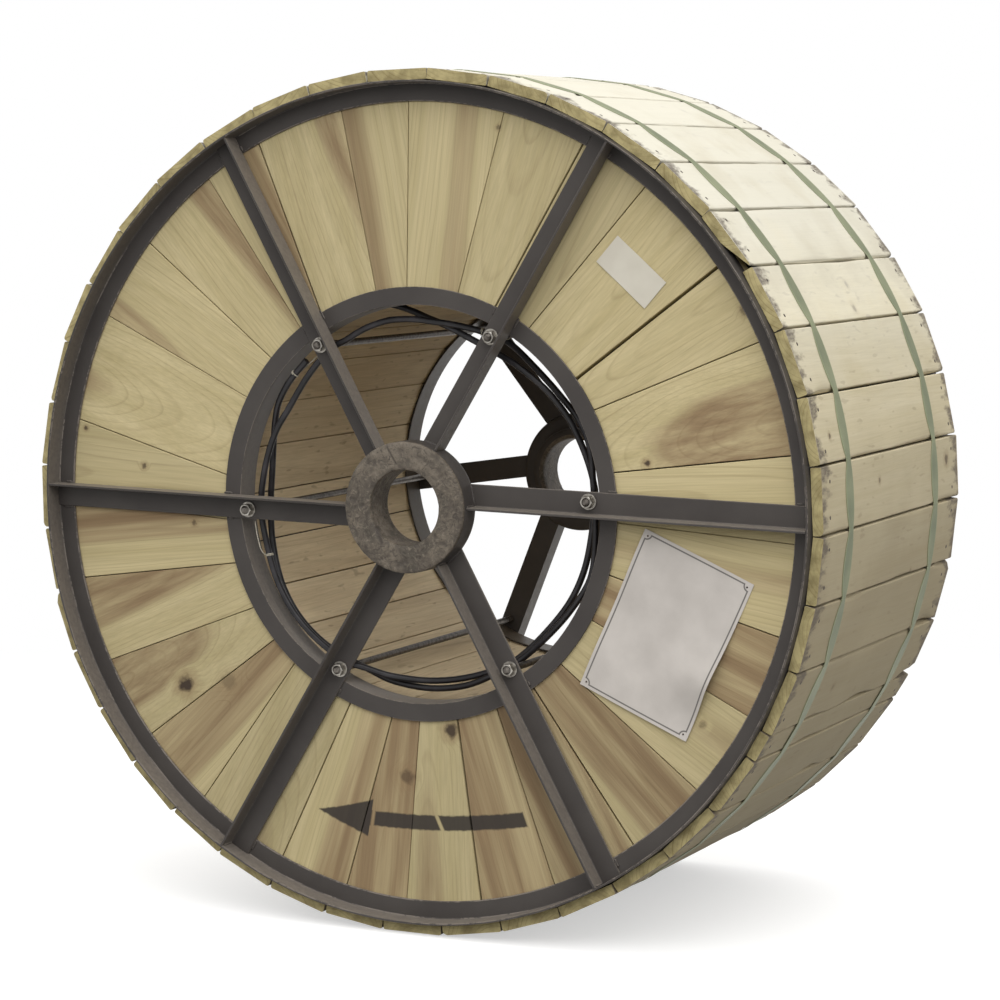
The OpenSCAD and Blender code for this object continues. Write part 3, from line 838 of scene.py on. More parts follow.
def run_lengthwise(shape, seed, pith_side, pith_depth, heartwood, spread):
    """Gives pieces that lie along the drum their grain; spread is the share with heartwood."""
    dice = random.Random(seed)
    log = shape.verts.layers.float_vector.new("log")
    board = shape.verts.layers.float_vector.new("board")
    for group in separate_pieces(shape):
        angle = angle_of(middle_of(group))
        outwards, across = directions(angle)
        half = max(abs(p.co.dot(across)) for p in group)
        top = max(p.co.dot(outwards) for p in group)
        side = dice.uniform(-pith_side, pith_side)
        deep = dice.uniform(*pith_depth)
        tilt = dice.uniform(-0.05, 0.05)
        heart = dice.uniform(*heartwood) if dice.random() < spread else 0
        start, tint = dice.uniform(0, 40), dice.random()
        for point in group:
            v = point.co.dot(across)
            under = top - point.co.dot(outwards)
            point[log] = Vector((point.co.y + start, v - side, deep + under + tilt * point.co.y))
            point[board] = Vector((tint, heart, v / half))


def staves():
    shape = shape_of("barrel_staves")
    for group in separate_pieces(shape):
        _, across = directions(angle_of(middle_of(group)))
        half = max(p.co.dot(across) for p in group)
        for point in group:
            point.co -= across * (point.co.dot(across) / half) * STAVE_SHRUNK
    round_edges(shape, 1.2 * MM)
    run_lengthwise(shape, 21, 0.05, (0.02, 0.08), (0.03, 0.06), 0.5)
    return to_piece(shape, "staves", [stave_pine], "stave_pine", "barrel_staves")


staves()

# %% [markdown]
# The lagging planks are the roughest wood on the reel: sawn and not planed, with waney corners
# where the log's own round edge is left, and ends that were cut by hand. Slow noise along the
# plank decides where its corner is cut back, and fine noise frays the cut.

# %% A plank's worn corners
EDGE_WORN = 2.0 * MM     # what is worn off a plank's outer edges
WANE_FROM = 0.12         # how high the slow noise rises before a corner shows wane


def wane(at, seed, strong):
    """How far a plank's corner is cut back at this place along it."""
    slow = noise.noise(Vector((at * 5.5, seed * 7.3, 0)))
    fine = noise.noise(Vector((at * 45, seed * 3.1, 5)))
    cut = EDGE_WORN + 0.9 * MM * fine
    if slow > WANE_FROM:
        cut += (slow - WANE_FROM) * strong
    return max(1 * MM, cut)


# %% [markdown]
# Each plank is drawn afresh from the size of its packed block, as 45 cross-sections along its
# length, closer together near the ends. A cross-section is a rectangle whose outer corners are
# worn and cut back by a changing amount, and whose sides bow a little. One plank has a waney
# inner corner as well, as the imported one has.

# %% A plank's cross-sections
PLANK_STEPS = 44
WANED_PLANK = 14         # counted from the lowest plank
WANE_W, WANE_LEN = 55 * MM, 160 * MM
SAW_PLAY = 0.3 * MM      # how much narrower and thinner than its block a plank is


def plank_sections(angle, width, inner, outer, y_from, y_to, dice, strong, waney):
    """Cross-sections of one plank, as rows of points."""
    outwards, across = directions(angle)
    seeds = [dice.uniform(0, 90) for _ in range(6)]
    skew = [dice.uniform(-1.6, 1.6) * MM for _ in range(2)]
    shorter = [dice.uniform(0, 3.5) * MM for _ in range(2)]
    half = width / 2
    rows = []
    for step in range(PLANK_STEPS + 1):
        share = step / PLANK_STEPS
        eased = 0.5 - 0.5 * math.cos(math.pi * share)
        y = y_from + (y_to - y_from) * (0.35 * share + 0.65 * eased)
        upper = [wane(y, seeds[0], strong), wane(y, seeds[1], strong * 0.7)]
        lower = 0.8 * MM
        missing = max(0.0, 1 - (y - y_from) / WANE_LEN) if waney else 0
        side_cut = lower + missing * WANE_W
        up_cut = lower + missing * (outer - inner - EDGE_WORN - 1.5 * MM)
        bow = [0.35 * MM * noise.noise(Vector((y * 9, s, 3))) for s in seeds[2:4]]
        lift = [0.25 * MM * noise.noise(Vector((y * 20, s, 9))) for s in seeds[4:6]]
        left, right = -half + SAW_PLAY + bow[0], half - SAW_PLAY + bow[1]
        top = outer - SAW_PLAY
        outline = [
            (left + side_cut, inner), (right - lower, inner), (right, inner + lower),
            (right, top - upper[1]), (right - upper[1] * 0.45, top - upper[1] * 0.38),
            (right - upper[1] * 1.25, top), (half * 0.3, top + lift[0]),
            (-half * 0.3, top + lift[1]), (left + upper[0] * 1.25, top),
            (left + upper[0] * 0.45, top - upper[0] * 0.38), (left, top - upper[0]),
            (left, min(inner + up_cut, top - upper[0] - SAW_PLAY)),
        ]
        row = []
        for v, r in outline:
            end = 0
            if step == 0:
                end = shorter[0] + skew[0] * v / half
            elif step == PLANK_STEPS:
                end = -shorter[1] + skew[1] * v / half
            row.append(outwards * r + across * v + Vector((0, y + end, 0)))
        rows.append(row)
    return rows


# %% [markdown]
# A surface through rows of points is skinned with four-sided faces. The planks, the nails, the
# tacks and the weld beads are capped at both ends, and what is turned joins up with itself.

# %% Skins over rows of points


def circle(centre, side, up, radius, count):
    """Points round a centre, in the plane of two directions."""
    return [centre + (side * math.cos(k * math.tau / count) + up * math.sin(k * math.tau / count))
            * radius for k in range(count)]


def skin(shape, rings):
    """Faces between each closed ring of points and the next; gives the new faces."""
    count = len(rings[0])
    return [shape.faces.new((a[k], a[(k + 1) % count], b[(k + 1) % count], b[k]))
            for a, b in zip(rings, rings[1:]) for k in range(count)]


def loft(shape, rows):
    """A closed tube through rows of points, capped at both ends."""
    rings = [[shape.verts.new(p) for p in row] for row in rows]
    skin(shape, rings)
    shape.faces.new(rings[0][::-1])
    shape.faces.new(rings[-1])


# %% [markdown]
# All planks are one mesh. They are drawn in their order round the drum from the lowest one, with
# the closing plank, which is narrower, as a piece of its own.

# %% Lagging planks


def block_of(group):
    """Angle, width, inner and outer distance and ends of one packed plank."""
    angle = angle_of(centre_of(group))
    outwards, across = directions(angle)
    out = [p.dot(outwards) for p in group]
    side = [p.dot(across) for p in group]
    ends = [p.y for p in group]
    return angle, max(side) - min(side), min(out), max(out), min(ends), max(ends)


def lagging(node, name, seed):
    dice = random.Random(seed)
    shape = bmesh.new()
    blocks = sorted((block_of(block) for block in blocks_of(node)),
                    key=lambda row: (row[0] + math.pi / 2 + 0.01) % math.tau)
    for number, block in enumerate(blocks):
        strong = 0.03 if dice.random() < 0.35 else 0.011
        waney = len(blocks) > 1 and number == WANED_PLANK
        loft(shape, plank_sections(*block, dice, strong, waney))
    run_lengthwise(shape, seed + 1, 0.06, (0.015, 0.09), (0.03, 0.07), 0.12)
    return drawn_piece(shape, name, [plank_pine], "plank_pine", node, smooth=28)


lagging("lagging_planks", "planks", 40)
lagging("closing_plank", "narrow_plank", 52)

# %% [markdown]
# The steel angles are copies with rounded, scuffed edges. Nothing else changes: rolled angle is
# straight and even.

# %% Rims, rings and spokes


def painted_angle(node, name):
    shape = shape_of(node, whole_faces=False)
    round_edges(shape, 0.9 * MM, worn=1)
    return to_piece(shape, name, [black_enamel, scuffed_edge], "black_steel", node)


for end in ("front", "back"):
    for part in ("rim", "ring", "spokes"):
        painted_angle(f"{end}_{part}", f"{end}_{part}_painted")

# %% [markdown]
# The hub is turned: the outline of its section is drawn once and swept round the axis in small
# steps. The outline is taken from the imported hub, with soft corners and close points.

# %% The hub's section


def hub_outline(node):
    """Corners of the hub's section as (distance from the axis, depth behind its face)."""
    points = [(math.hypot(p.co.x, p.co.z), abs(p.co.y)) for p in nodes[node].data.vertices]
    face = max(depth for _, depth in points)
    bore = min(r for r, _ in points)
    rim = max(r for r, _ in points)
    back = min(depth for _, depth in points)
    shoulder = min(depth for r, depth in points if r > rim - 0.5 * MM)
    boss = max(r for r, depth in points if depth < back + 0.5 * MM)
    corner = [(rim, face), (rim, shoulder), (boss, shoulder), (boss, back), (bore, back),
              (bore, face)]
    return [(r, face - depth) for r, depth in corner], face


def walk(corners, step, soft):
    """Points along a closed outline about a step apart, its corners cut by soft."""
    path = []
    for i, here in enumerate(corners):
        before, after = corners[i - 1], corners[(i + 1) % len(corners)]
        here, before, after = (Vector(p) for p in (here, before, after))
        cut = min(soft, (here - before).length / 2.2, (here - after).length / 2.2)
        a = here + (before - here).normalized() * cut
        b = here + (after - here).normalized() * cut
        path += [a, here * 0.5 + (a + b) * 0.25, b]
    dense = []
    for a, b in zip(path, path[1:] + path[:1]):
        parts = max(1, round((b - a).length / step))
        dense += [a.lerp(b, k / parts) for k in range(parts)]
    return dense


# %% [markdown]
# The hub's face has had a hard life. Long chisel-like marks are listed one by one, and a hundred
# small dents and scratches are thrown over it by chance. Each is a line from one place to another
# with a radius and a depth.

# %% Marks and dents
# Marks on the face, from one place to another: degrees and millimetres, then width and depth
HUB_MARKS = [(107, 105, 101, 74, 2.5, 1.8), (214, 64, 236, 72, 5, 2.2), (285, 100, 291, 84, 2, 1.4),
             (160, 92, 176, 84, 3, 1.3), (243, 98, 250, 88, 3, 1.4), (75, 88, 68, 92, 4, 1.2)]
HUB_DENTS = 110


def distance_to_mark(x, z, a, b):
    """Distance from a place on the face to the line from a to b, all in the flange's plane."""
    here, a, b = Vector((x, z)), Vector(a), Vector(b)
    share = max(0.0, min(1.0, (here - a).dot(b - a) / (b - a).length_squared))
    return (here - a.lerp(b, share)).length


def hub_damage(seed):
    """Dents and marks as (one end, other end, radius, depth)."""
    dice = random.Random(seed)
    damage = []
    for a1, r1, a2, r2, width, depth in HUB_MARKS:
        ends = [(r * MM * math.cos(math.radians(a)), r * MM * math.sin(math.radians(a)))
                for a, r in ((a1, r1), (a2, r2))]
        damage.append((*ends, width * MM, depth * MM))
    for _ in range(HUB_DENTS):
        turn, r = dice.uniform(0, math.tau), dice.uniform(60, 112) * MM
        lean, run = dice.uniform(0, math.tau), dice.uniform(1, 9) * MM
        a = (r * math.cos(turn), r * math.sin(turn))
        b = (a[0] + run * math.cos(lean), a[1] + run * math.sin(lean))
        damage.append((a, b, dice.uniform(3, 8) * MM, dice.uniform(0.3, 1.3) * MM))
    return damage


def hollow_at(spot, damage):
    """How deep the deepest mark or dent is at this place."""
    hollow = 0.0
    for a, b, wide, deep in damage:
        near = 1 - distance_to_mark(spot.x, spot.z, a, b) / wide
        if near > 0:
            hollow = max(hollow, deep * near * near * (3 - 2 * near))
    return hollow


# %% [markdown]
# Noise pushes the bare face in by up to a millimetre or two, as scale and wear have done, and
# fades out down the side. How deep each point was hollowed is kept with it, so that the finish
# can darken the hollows. Behind the face the hub is painted with the rest.

# %% Hubs
HUB_TURNS = 220
HUB_ROUGH = 1.7 * MM
ROUGH_DEPTH = 42 * MM                  # how far down the side the roughness reaches
DENTED_DEPTH = 14 * MM                 # and how far the marks and dents do
BARE_DEPTH, BARE_R = 6 * MM, 70 * MM   # the paint begins behind the face and outside the bore


def hub(node, name, seed):
    corners, face = hub_outline(node)
    outline = walk(corners, 3.5 * MM, 5 * MM)
    side = -1 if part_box(node)[0].y < 0 else 1
    damage = hub_damage(seed)
    shape = bmesh.new()
    hollow_layer = shape.verts.layers.float.new("hollow")
    rings = []
    for k in range(HUB_TURNS):
        angle = math.tau * k / HUB_TURNS
        ring = []
        for r, depth in outline:
            spot = Vector((r * math.cos(angle), side * (face - depth), r * math.sin(angle)))
            rough = noise.fractal(spot * 26, 0.9, 2.1, 4) * HUB_ROUGH
            bare = max(0.0, 1 - depth / ROUGH_DEPTH)
            hollow = hollow_at(spot, damage) if depth < DENTED_DEPTH else 0.0
            spot.y -= side * (0.3 * MM + abs(rough) * 0.9 * bare + hollow)
            reach = 1 - (abs(rough) * 0.5 * bare + 0.1 * MM) / r if r > 0.08 else 1
            point = shape.verts.new((spot.x * reach, spot.y, spot.z * reach))
            point[hollow_layer] = min(0.8, hollow / (1.8 * MM))
            ring.append(point)
        rings.append(ring)
    for new in skin(shape, rings + rings[:1]):
        middle = middle_of(new.verts)
        painted = face - abs(middle.y) > BARE_DEPTH and math.hypot(middle.x, middle.z) > BARE_R
        new.material_index = 1 if painted else 0
    return drawn_piece(shape, name, [hub_bare, black_enamel], "forged_hub", node, smooth=50)


hub("front_hub", "front_hub_worn", 5)
hub("back_hub", "back_hub_worn", 6)

# %% [markdown]
# Six rods pull the flanges together. Each end has a thread, drawn as ring-like ridges a little
# coarser than the real pitch of 1.75 mm so that they show, a washer, and a hexagon nut whose
# corners are turned off to a cone on both sides. A nut is drawn as rows of points whose distance
# from the axis is the smaller of the hexagon's and the cone's.

# %% Tie rods, washers and nuts
THREAD, THREADED = 2 * MM, 45 * MM     # pitch, and length of thread at each end
AROUND = 48
NUT_STEPS = (0, 0.05, 0.1, 0.15, 0.2, 0.3, 0.5, 0.7, 0.8, 0.85, 0.9, 0.95, 1)


def columns(shape, centre, rows):
    """A closed turned form: rows are (function of angle that gives the radius, y)."""
    rings = []
    for radius, y in rows:
        ring = []
        for k in range(AROUND):
            angle = math.tau * k / AROUND
            r = radius(angle)
            ring.append(shape.verts.new(
                (centre.x + r * math.cos(angle), y, centre.z + r * math.sin(angle))))
        rings.append(ring)
    skin(shape, rings + rings[:1])


def rods():
    shape = bmesh.new()
    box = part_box("tie_rods")
    for block in blocks_of("tie_rods"):
        centre = centre_of(block)
        radius = max(math.hypot(p.x - centre.x, p.z - centre.z) for p in block)
        low = box[0].y
        heights = [(radius - 2.5 * MM, 0.0), (radius - 1 * MM, 1.2 * MM)]
        count = int(THREADED / THREAD)
        for k in range(1, count):
            heights += [(radius - 1 * MM, (k + 0.05) * THREAD), (radius, (k + 0.5) * THREAD)]
        half = [(r, low + y) for r, y in heights] + [(radius - 0.2 * MM, low + THREADED)]
        both = half + [(r, -y) for r, y in reversed(half)]
        both = [(0.01 * MM, low)] + both + [(0.01 * MM, -low)]
        columns(shape, centre, [(lambda a, r=r: r, y) for r, y in both])
    return drawn_piece(shape, "threaded_rods", [dull_zinc], "zinc", "tie_rods", smooth=25)


def nut_radius(across_flats, height, y):
    """Radius of a nut's outline at each angle, at height y over its lower face."""
    cone = across_flats / 2 * 0.97 + min(y, height - y) * 1.7

    def at(angle):
        return min(across_flats / 2 / math.cos(angle % (math.pi / 3) - math.pi / 6), cone)

    return at


def nuts(node, name):
    shape = bmesh.new()
    for block in blocks_of(node):
        centre = centre_of(block)
        reach = [math.hypot(p.x - centre.x, p.z - centre.z) for p in block]
        low, high = min(p.y for p in block), max(p.y for p in block)
        flats = max(reach) * 2 * math.cos(math.pi / 6)
        height = high - low
        bore = min(reach)
        heights = [height * share for share in NUT_STEPS]
        rows = [(nut_radius(flats, height, y), low + y) for y in heights]
        rows += [(lambda a: bore + 1 * MM, high), (lambda a: bore, high - 1 * MM),
                 (lambda a: bore, low + 1 * MM), (lambda a: bore + 1 * MM, low)]
        columns(shape, centre, rows)
    return drawn_piece(shape, name, [bright_zinc], "zinc", node, smooth=25)


def washers(node, name):
    shape = shape_of(node, whole_faces=False)
    round_edges(shape, 0.5 * MM)
    return to_piece(shape, name, [bright_zinc], "zinc", node)


rods()
for end in ("front", "back"):
    nuts(f"{end}_nuts", f"{end}_hexagon_nuts")
    washers(f"{end}_washers", f"{end}_flat_washers")

# %% [markdown]
# A strap under tension lies flat on the middle of each plank and is pinched narrow where it bends
# over the planks' corners. So each strap is drawn as a closed band of cross-sections, whose width
# swings between the two, and which wanders a millimetre or two to either side. The wound cable
# is hidden, but it is dressed too, as boards have gaps.

# %% Straps and wound cable
STRAP_T = 0.8 * MM
STRAP_WIDE = 1.16             # its real width against the packed, mean one
STRAP_PINCHED = (0.48, 0.62)  # share of its width that is left at a corner
STRAP_STEPS = 8
# Corners of its section: share of half its width, and of its thickness
STRAP_SECTION = ((-1, 0), (-0.95, 1), (-0.5, 1), (0, 1), (0.5, 1), (0.95, 1), (1, 0), (0, 0))
STRAP_DRIFT = 1.5 * MM


def strap(node, name, seed):
    dice = random.Random(seed)
    low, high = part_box(node)
    middle, full = (low.y + high.y) / 2, (high.y - low.y) / 2 * STRAP_WIDE
    outer = max(math.hypot(v.co.x, v.co.z) for v in nodes[node].data.vertices)
    shape = bmesh.new()
    across_layer = shape.verts.layers.float_vector.new("across")
    planks = sorted(block_of(block) for block in blocks_of("lagging_planks"))
    flat = planks[0][1] / 2 - EDGE_WORN
    distance = math.sqrt(outer ** 2 - flat ** 2) - STRAP_T - 0.05 * MM
    pinched = [dice.uniform(*STRAP_PINCHED) for _ in planks]
    drift = [dice.uniform(-STRAP_DRIFT, STRAP_DRIFT) for _ in planks]
    rings = []
    for i, (angle, *_) in enumerate(planks):
        outwards, along = directions(angle)
        for step in range(STRAP_STEPS + 1):
            t = 2 * step / STRAP_STEPS - 1
            nearest = pinched[i] if t < 0 else pinched[(i + 1) % len(planks)]
            aside = drift[i] * (1 - t) / 2 + drift[(i + 1) % len(planks)] * (1 + t) / 2
            half = full * (nearest + (1 - nearest) * (1 - abs(t) ** 2.2))
            ring = []
            for v, up in STRAP_SECTION:
                place = outwards * (distance + up * STRAP_T) + along * (t * flat)
                point = shape.verts.new(place + Vector((0, middle + aside + v * half, 0)))
                point[across_layer] = Vector((v, 0, 0))
                ring.append(point)
            rings.append(ring)
    skin(shape, rings + rings[:1])
    return drawn_piece(shape, name, [strapping], "strap_plastic", node, smooth=40)


strap("front_strap", "front_strap_tight", 61)
strap("back_strap", "back_strap_tight", 62)
nodes["wound_cable"].data.materials.clear()
nodes["wound_cable"].data.materials.append(jacket)
print("The wound cable has its jacket")

# %% [markdown]
# The cable's inner end comes through a slot in the barrel and runs nearly two turns round the
# inside, behind the rings. It is an 11 mm cable with a stiff black jacket, so it lies in wide
# curves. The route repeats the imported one, point by point: angle round the drum, gap to the
# staves and depth behind the flange's face, in degrees and millimetres.

# %% Cable end
CABLE_D = 11 * MM
BARREL_IN = 0.331        # where the cable would touch the staves
FLANGE_FACE = 0.340
ROUTE = [
    (106, -15, 60), (101, -3, 60), (96, 10, 59), (91, 22, 57), (86, 30, 54), (80, 38, 50),
    (73, 44, 45), (64, 46, 41), (54, 43, 39), (42, 39, 44), (32, 39, 57), (24, 39, 62),
    (16, 37, 64), (9, 35, 66), (3, 35, 67), (-10, 39, 68), (-21, 38, 71), (-32, 38, 74),
    (-44, 40, 81), (-57, 35, 86), (-66, 31, 83), (-78, 30, 72), (-90, 29, 56), (-102, 29, 36),
    (-110, 30, 22), (-117, 27.5, 10), (-128, 25, 12), (-140, 23, 14), (-152, 25, 15),
    (-165, 29, 16), (-177, 27.5, 18), (-190, 32, 18), (-202, 36, 16), (-212, 41, 15),
    (-224, 36, 15), (-236, 27.5, 13), (-243, 27, 18), (-250, 22, 25), (-258, 20, 29),
    (-266, 23, 31), (-273, 27, 34), (-280, 28, 44), (-288, 28, 57), (-297, 28, 70),
    (-310, 36, 70), (-323, 34, 69), (-333, 25, 64), (-342, 24, 56), (-350, 27, 48),
    (-357, 27.5, 46), (-369, 23, 48), (-381, 16, 51), (-393, 24, 56), (-405, 29, 62),
    (-417, 27.5, 67), (-427, 25, 66), (-438, 18, 62), (-450, 16, 57), (-462, 18, 48),
    (-470, 25, 36), (-477, 27.5, 26), (-488, 22, 27), (-500, 18, 32), (-512, 19, 38),
    (-525, 24, 46), (-537, 27.5, 52), (-548, 30, 49), (-556, 27, 43), (-564, 21, 33),
    (-571, 16, 23), (-579, 15, 17), (-588, 15, 14),
]


def route_point(angle, gap, depth):
    r = BARREL_IN - gap * MM
    turn = math.radians(angle)
    return Vector((r * math.cos(turn), -FLANGE_FACE + depth * MM, r * math.sin(turn)))


def eased(points, parts=6):
    """A smooth line through all the points."""
    ends = [points[0] * 2 - points[1]] + points + [points[-1] * 2 - points[-2]]
    line = []
    for a, b, c, d in zip(ends, ends[1:], ends[2:], ends[3:]):
        for k in range(parts):
            t = k / parts
            line.append(0.5 * (2 * b + (c - a) * t + (2 * a - 5 * b + 4 * c - d) * t ** 2
                               + (3 * b - a - 3 * c + d) * t ** 3))
    return line + [points[-1]]


def tube(name, line, radius, material, sides=6):
    """A round curve object along a line."""
    curve = bpy.data.curves.new(name, "CURVE")
    curve.dimensions = "3D"
    curve.bevel_depth = radius
    curve.bevel_resolution = sides // 2
    curve.use_fill_caps = True
    spline = curve.splines.new("POLY")
    spline.points.add(len(line) - 1)
    for point, place in zip(spline.points, line):
        point.co = (*place, 1)
    curve.materials.append(material)
    piece = new_object(name, curve)
    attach(piece, "root")
    return piece


cable_line = eased([route_point(*row) for row in ROUTE])
cable = tube("cable_end", cable_line, CABLE_D / 2, jacket, sides=10)
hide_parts("cable_tail")
print("The cable's end is", round(sum((b - a).length for a, b in zip(cable_line, cable_line[1:])), 3),
      "m long")

# %% [markdown]
# Two nails hold each plank on each rim, and one holds the narrow plank. Only their flat heads
# show, dark with rust, and none is in its exact place. All the heads are one mesh.

# %% Nails
ALONG_DRUM = Vector((0, 1, 0))
NAIL_R = 3.2 * MM
NAIL_HEAD = ((1.0, -1.2), (1.0, 0.0), (0.8, 0.35), (0.3, 0.45))  # share of radius, mm of height
NAIL_IN = 36 * MM        # from the plank's end
NAIL_SIDE = 0.29         # share of the plank's width on either side of its middle
NAIL_PLAY = 5 * MM       # how far a nail is out of its place
NARROW = 60 * MM         # a plank below this width has one nail at each end


def nail_steel():
    material, tree, shader = finish_named("nail_steel", Metallic=0.6, Roughness=0.6)
    spot = add(tree, "TexCoord", out="Object")
    cloud = add(tree, "TexNoise", {"Vector": spot, "Scale": every(3.33), "Detail": 2.0})
    colour = add(tree, "ValToRGB", {"Fac": cloud},
                 stops=[(0.35, linear("#2f2823")), (0.7, linear("#5d4f43"))])
    tree.links.new(colour, shader.inputs["Base Color"])
    return material


def nail_heads():
    dice = random.Random(77)
    shape = bmesh.new()
    for node in ("lagging_planks", "closing_plank"):
        for block in blocks_of(node):
            angle, width, _, outer, y_from, y_to = block_of(block)
            outwards, across = directions(angle)
            sides = (-NAIL_SIDE, NAIL_SIDE) if width > NARROW else (0.0,)
            for y in (y_from + NAIL_IN, y_to - NAIL_IN):
                for side in sides:
                    v = side * width + dice.uniform(-NAIL_PLAY, NAIL_PLAY)
                    at = across * v + ALONG_DRUM * (y + dice.uniform(-NAIL_PLAY, NAIL_PLAY))
                    loft(shape, [
                        circle(at + outwards * (outer - SAW_PLAY + up * MM), across, ALONG_DRUM,
                               NAIL_R * share, 10)
                        for share, up in NAIL_HEAD])
    return drawn_piece(shape, "nail_heads", [nail_steel()], "black_steel")


nail_heads()

# %% [markdown]
# A weld bead is a row of overlapping drops. It is drawn as circles along a line, whose radius
# ripples from drop to drop and closes at both ends.

# %% A weld bead
BEAD_STEP = 1.4 * MM     # from one circle to the next
DROP_STEPS = 2.6         # circles to a drop


def bead(shape, start, end, radius, seed):
    """A rippled bead from start to end."""
    axis = end - start
    length = axis.length
    axis.normalize()
    side = axis.cross(Vector((0, 1, 0)))
    side = side.normalized() if side.length > 0.1 else axis.cross(Vector((1, 0, 0))).normalized()
    up = side.cross(axis)
    steps = max(8, int(length / BEAD_STEP))
    rows = []
    for i in range(steps + 1):
        share = i / steps
        cap = math.sqrt(max(0.0, 1 - (2 * share - 1) ** 6))
        ripple = 0.88 + 0.12 * abs(math.sin(i * math.pi / DROP_STEPS + seed))
        r = radius * max(0.12, cap) * ripple
        r *= 1 + 0.18 * noise.noise(Vector((i * 0.35, seed * 1.7, 0)))
        centre = start + axis * length * share
        rows.append(circle(centre, side, up, r, 8))
    loft(shape, rows)


# %% [markdown]
# Short beads hold the spokes to the ring and the rims, and longer ones hold them to the hub. They
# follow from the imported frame: a spoke's heel runs close by the drum's middle, so the spoke is
# turned away from its tie rod by an angle that its gauge gives. The beads are painted over.

# %% Weld beads
ANGLE_T = 4 * MM
SPOKE_HEEL = 2 * MM      # the heel's distance from the line through the drum's middle
SPOKE_GAUGE = 24 * MM    # and from there to the tie rod
SPOKE_FLAT = 40 * MM
RIM_FLAT = 34 * MM
TOE_BEAD, LEG_BEAD, HUB_BEAD = 2.1, 2.4, 2.6   # the beads' radii, in millimetres
TOE_OUT = 1.6 * MM       # from a spoke's edge to the middle of a bead along it


def weld_beads():
    shape = bmesh.new()
    rod_blocks = [centre_of(block) for block in blocks_of("tie_rods")]
    skew = math.asin((SPOKE_HEEL + SPOKE_GAUGE) / math.hypot(rod_blocks[0].x, rod_blocks[0].z))
    face = abs(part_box("front_ring")[0].y)
    edge = abs(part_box("front_rim")[0].y)
    ring_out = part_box("front_ring")[1].x
    rim_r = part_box("front_rim")[1].x - ANGLE_T
    hub_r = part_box("front_hub")[1].x
    inner_corner = SPOKE_HEEL + ANGLE_T + 0.2 * MM
    seed = 0
    for front in (-1, 1):
        for rod in rod_blocks:
            out, across = directions(angle_of(rod) + front * skew)
            across *= -front

            def at(r, v, y):
                """A place at distance r from the axis and v from the line through the middle."""
                return out * math.sqrt(r * r - v * v) + across * v + Vector((0, front * y, 0))

            toes = face + 0.8 * MM
            for v in (SPOKE_HEEL - TOE_OUT, SPOKE_HEEL + SPOKE_FLAT + TOE_OUT):
                for r in (ring_out - 14 * MM, rim_r - RIM_FLAT + 7 * MM):
                    seed += 1
                    long = (13 + 5 * math.sin(seed * 2.4)) * MM
                    bead(shape, at(r, v, toes), at(r + long, v, toes), TOE_BEAD * MM, seed)
            seed += 1
            flat_y = face + ANGLE_T + 0.5 * MM
            bead(shape, at(hub_r + 1 * MM, inner_corner, flat_y),
                 at(hub_r + 1 * MM, SPOKE_FLAT, flat_y), HUB_BEAD * MM, seed)
            for r, radius, short in ((hub_r + 0.5 * MM, LEG_BEAD, 4),
                                     (rim_r - 1.5 * MM, TOE_BEAD, 5)):
                bead(shape, at(r, inner_corner, flat_y), at(r, inner_corner, edge - short * MM),
                     radius * MM, seed + radius)
    return drawn_piece(shape, "weld_beads", [black_enamel], "black_steel", smooth=60)


weld_beads()

# %% [markdown]
# Two plain papers are fixed to the front: a sheet the size of a letter with a thin ruled border,
# and a small blank label. Uncoated paper is matt, and dust has dulled these. The border is worked
# out from each point's distance to the sheet's edges, which the point carries with it.

# %% The papers' finish


def paper_finish(name, colour, border=None):
    """Uncoated paper, dulled by dust. A border is (inset, width of the line, notch's radius)."""
    material, tree, shader = finish_named(name, Roughness=0.6, IOR=1.47)
    spot = add(tree, "TexCoord", out="Object")
    cloud = add(tree, "TexNoise", {"Vector": spot, "Scale": every(55.6), "Detail": 5.0})
    tone = add(tree, "ValToRGB", {"Fac": cloud},
               stops=[(0.3, linear(colour[0])), (0.7, linear(colour[1]))])
    if border:
        inset, line, notch = border
        sheet = add(tree, "Attribute", out="Vector", attribute_name="sheet")
        x, y, _ = add(tree, "SeparateXYZ", {"Vector": sheet}).node.outputs
        nearest = add(tree, "Math", {0: x, 1: y}, operation="MINIMUM")
        in_by = add(tree, "Math", {0: nearest, 1: inset}, operation="SUBTRACT")
        # The border's corners are cut out as quarter circles
        away = add(tree, "VectorMath", {0: sheet, 1: (inset, inset, 0)}, out="Value",
                   operation="DISTANCE")
        from_notch = add(tree, "Math", {0: away, 1: notch}, operation="SUBTRACT")
        inner = add(tree, "Math", {0: in_by, 1: from_notch}, operation="MINIMUM")
        off = add(tree, "Math", {0: inner}, operation="ABSOLUTE")
        drawn = add(tree, "MapRange", {
            "Value": off, "From Min": line * 0.4, "From Max": line * 0.8, "To Min": 0.85,
            "To Max": 0.0})
        tone = add(tree, "Mix", {0: drawn, 6: tone, 7: linear("#4a4744")}, out=2,
                   data_type="RGBA")
    tree.links.new(tone, shader.inputs["Base Color"])
    return material


# %% [markdown]
# A paper is a fine grid of points with a real thickness, bent by a soft wave. One function turns
# a share of its width and height into a place on the boards, so that the paper and what holds it
# follow the same wave.

# %% Papers
PAPER_OFF = 0.25 * MM    # how far the back of a paper is off the boards


def laid_on_boards(middle, turn, width, height, lift):
    """Gives the place at a share of a paper's width and height, off the boards by lift and more."""
    right, up = directions(math.radians(turn))
    centre = Vector((middle[0] * MM, BOARD_FACE, middle[1] * MM))

    def at(a, b, off):
        return (centre + right * (a - 0.5) * width + up * (b - 0.5) * height
                - ALONG_DRUM * (lift(a, b) + off))

    return at


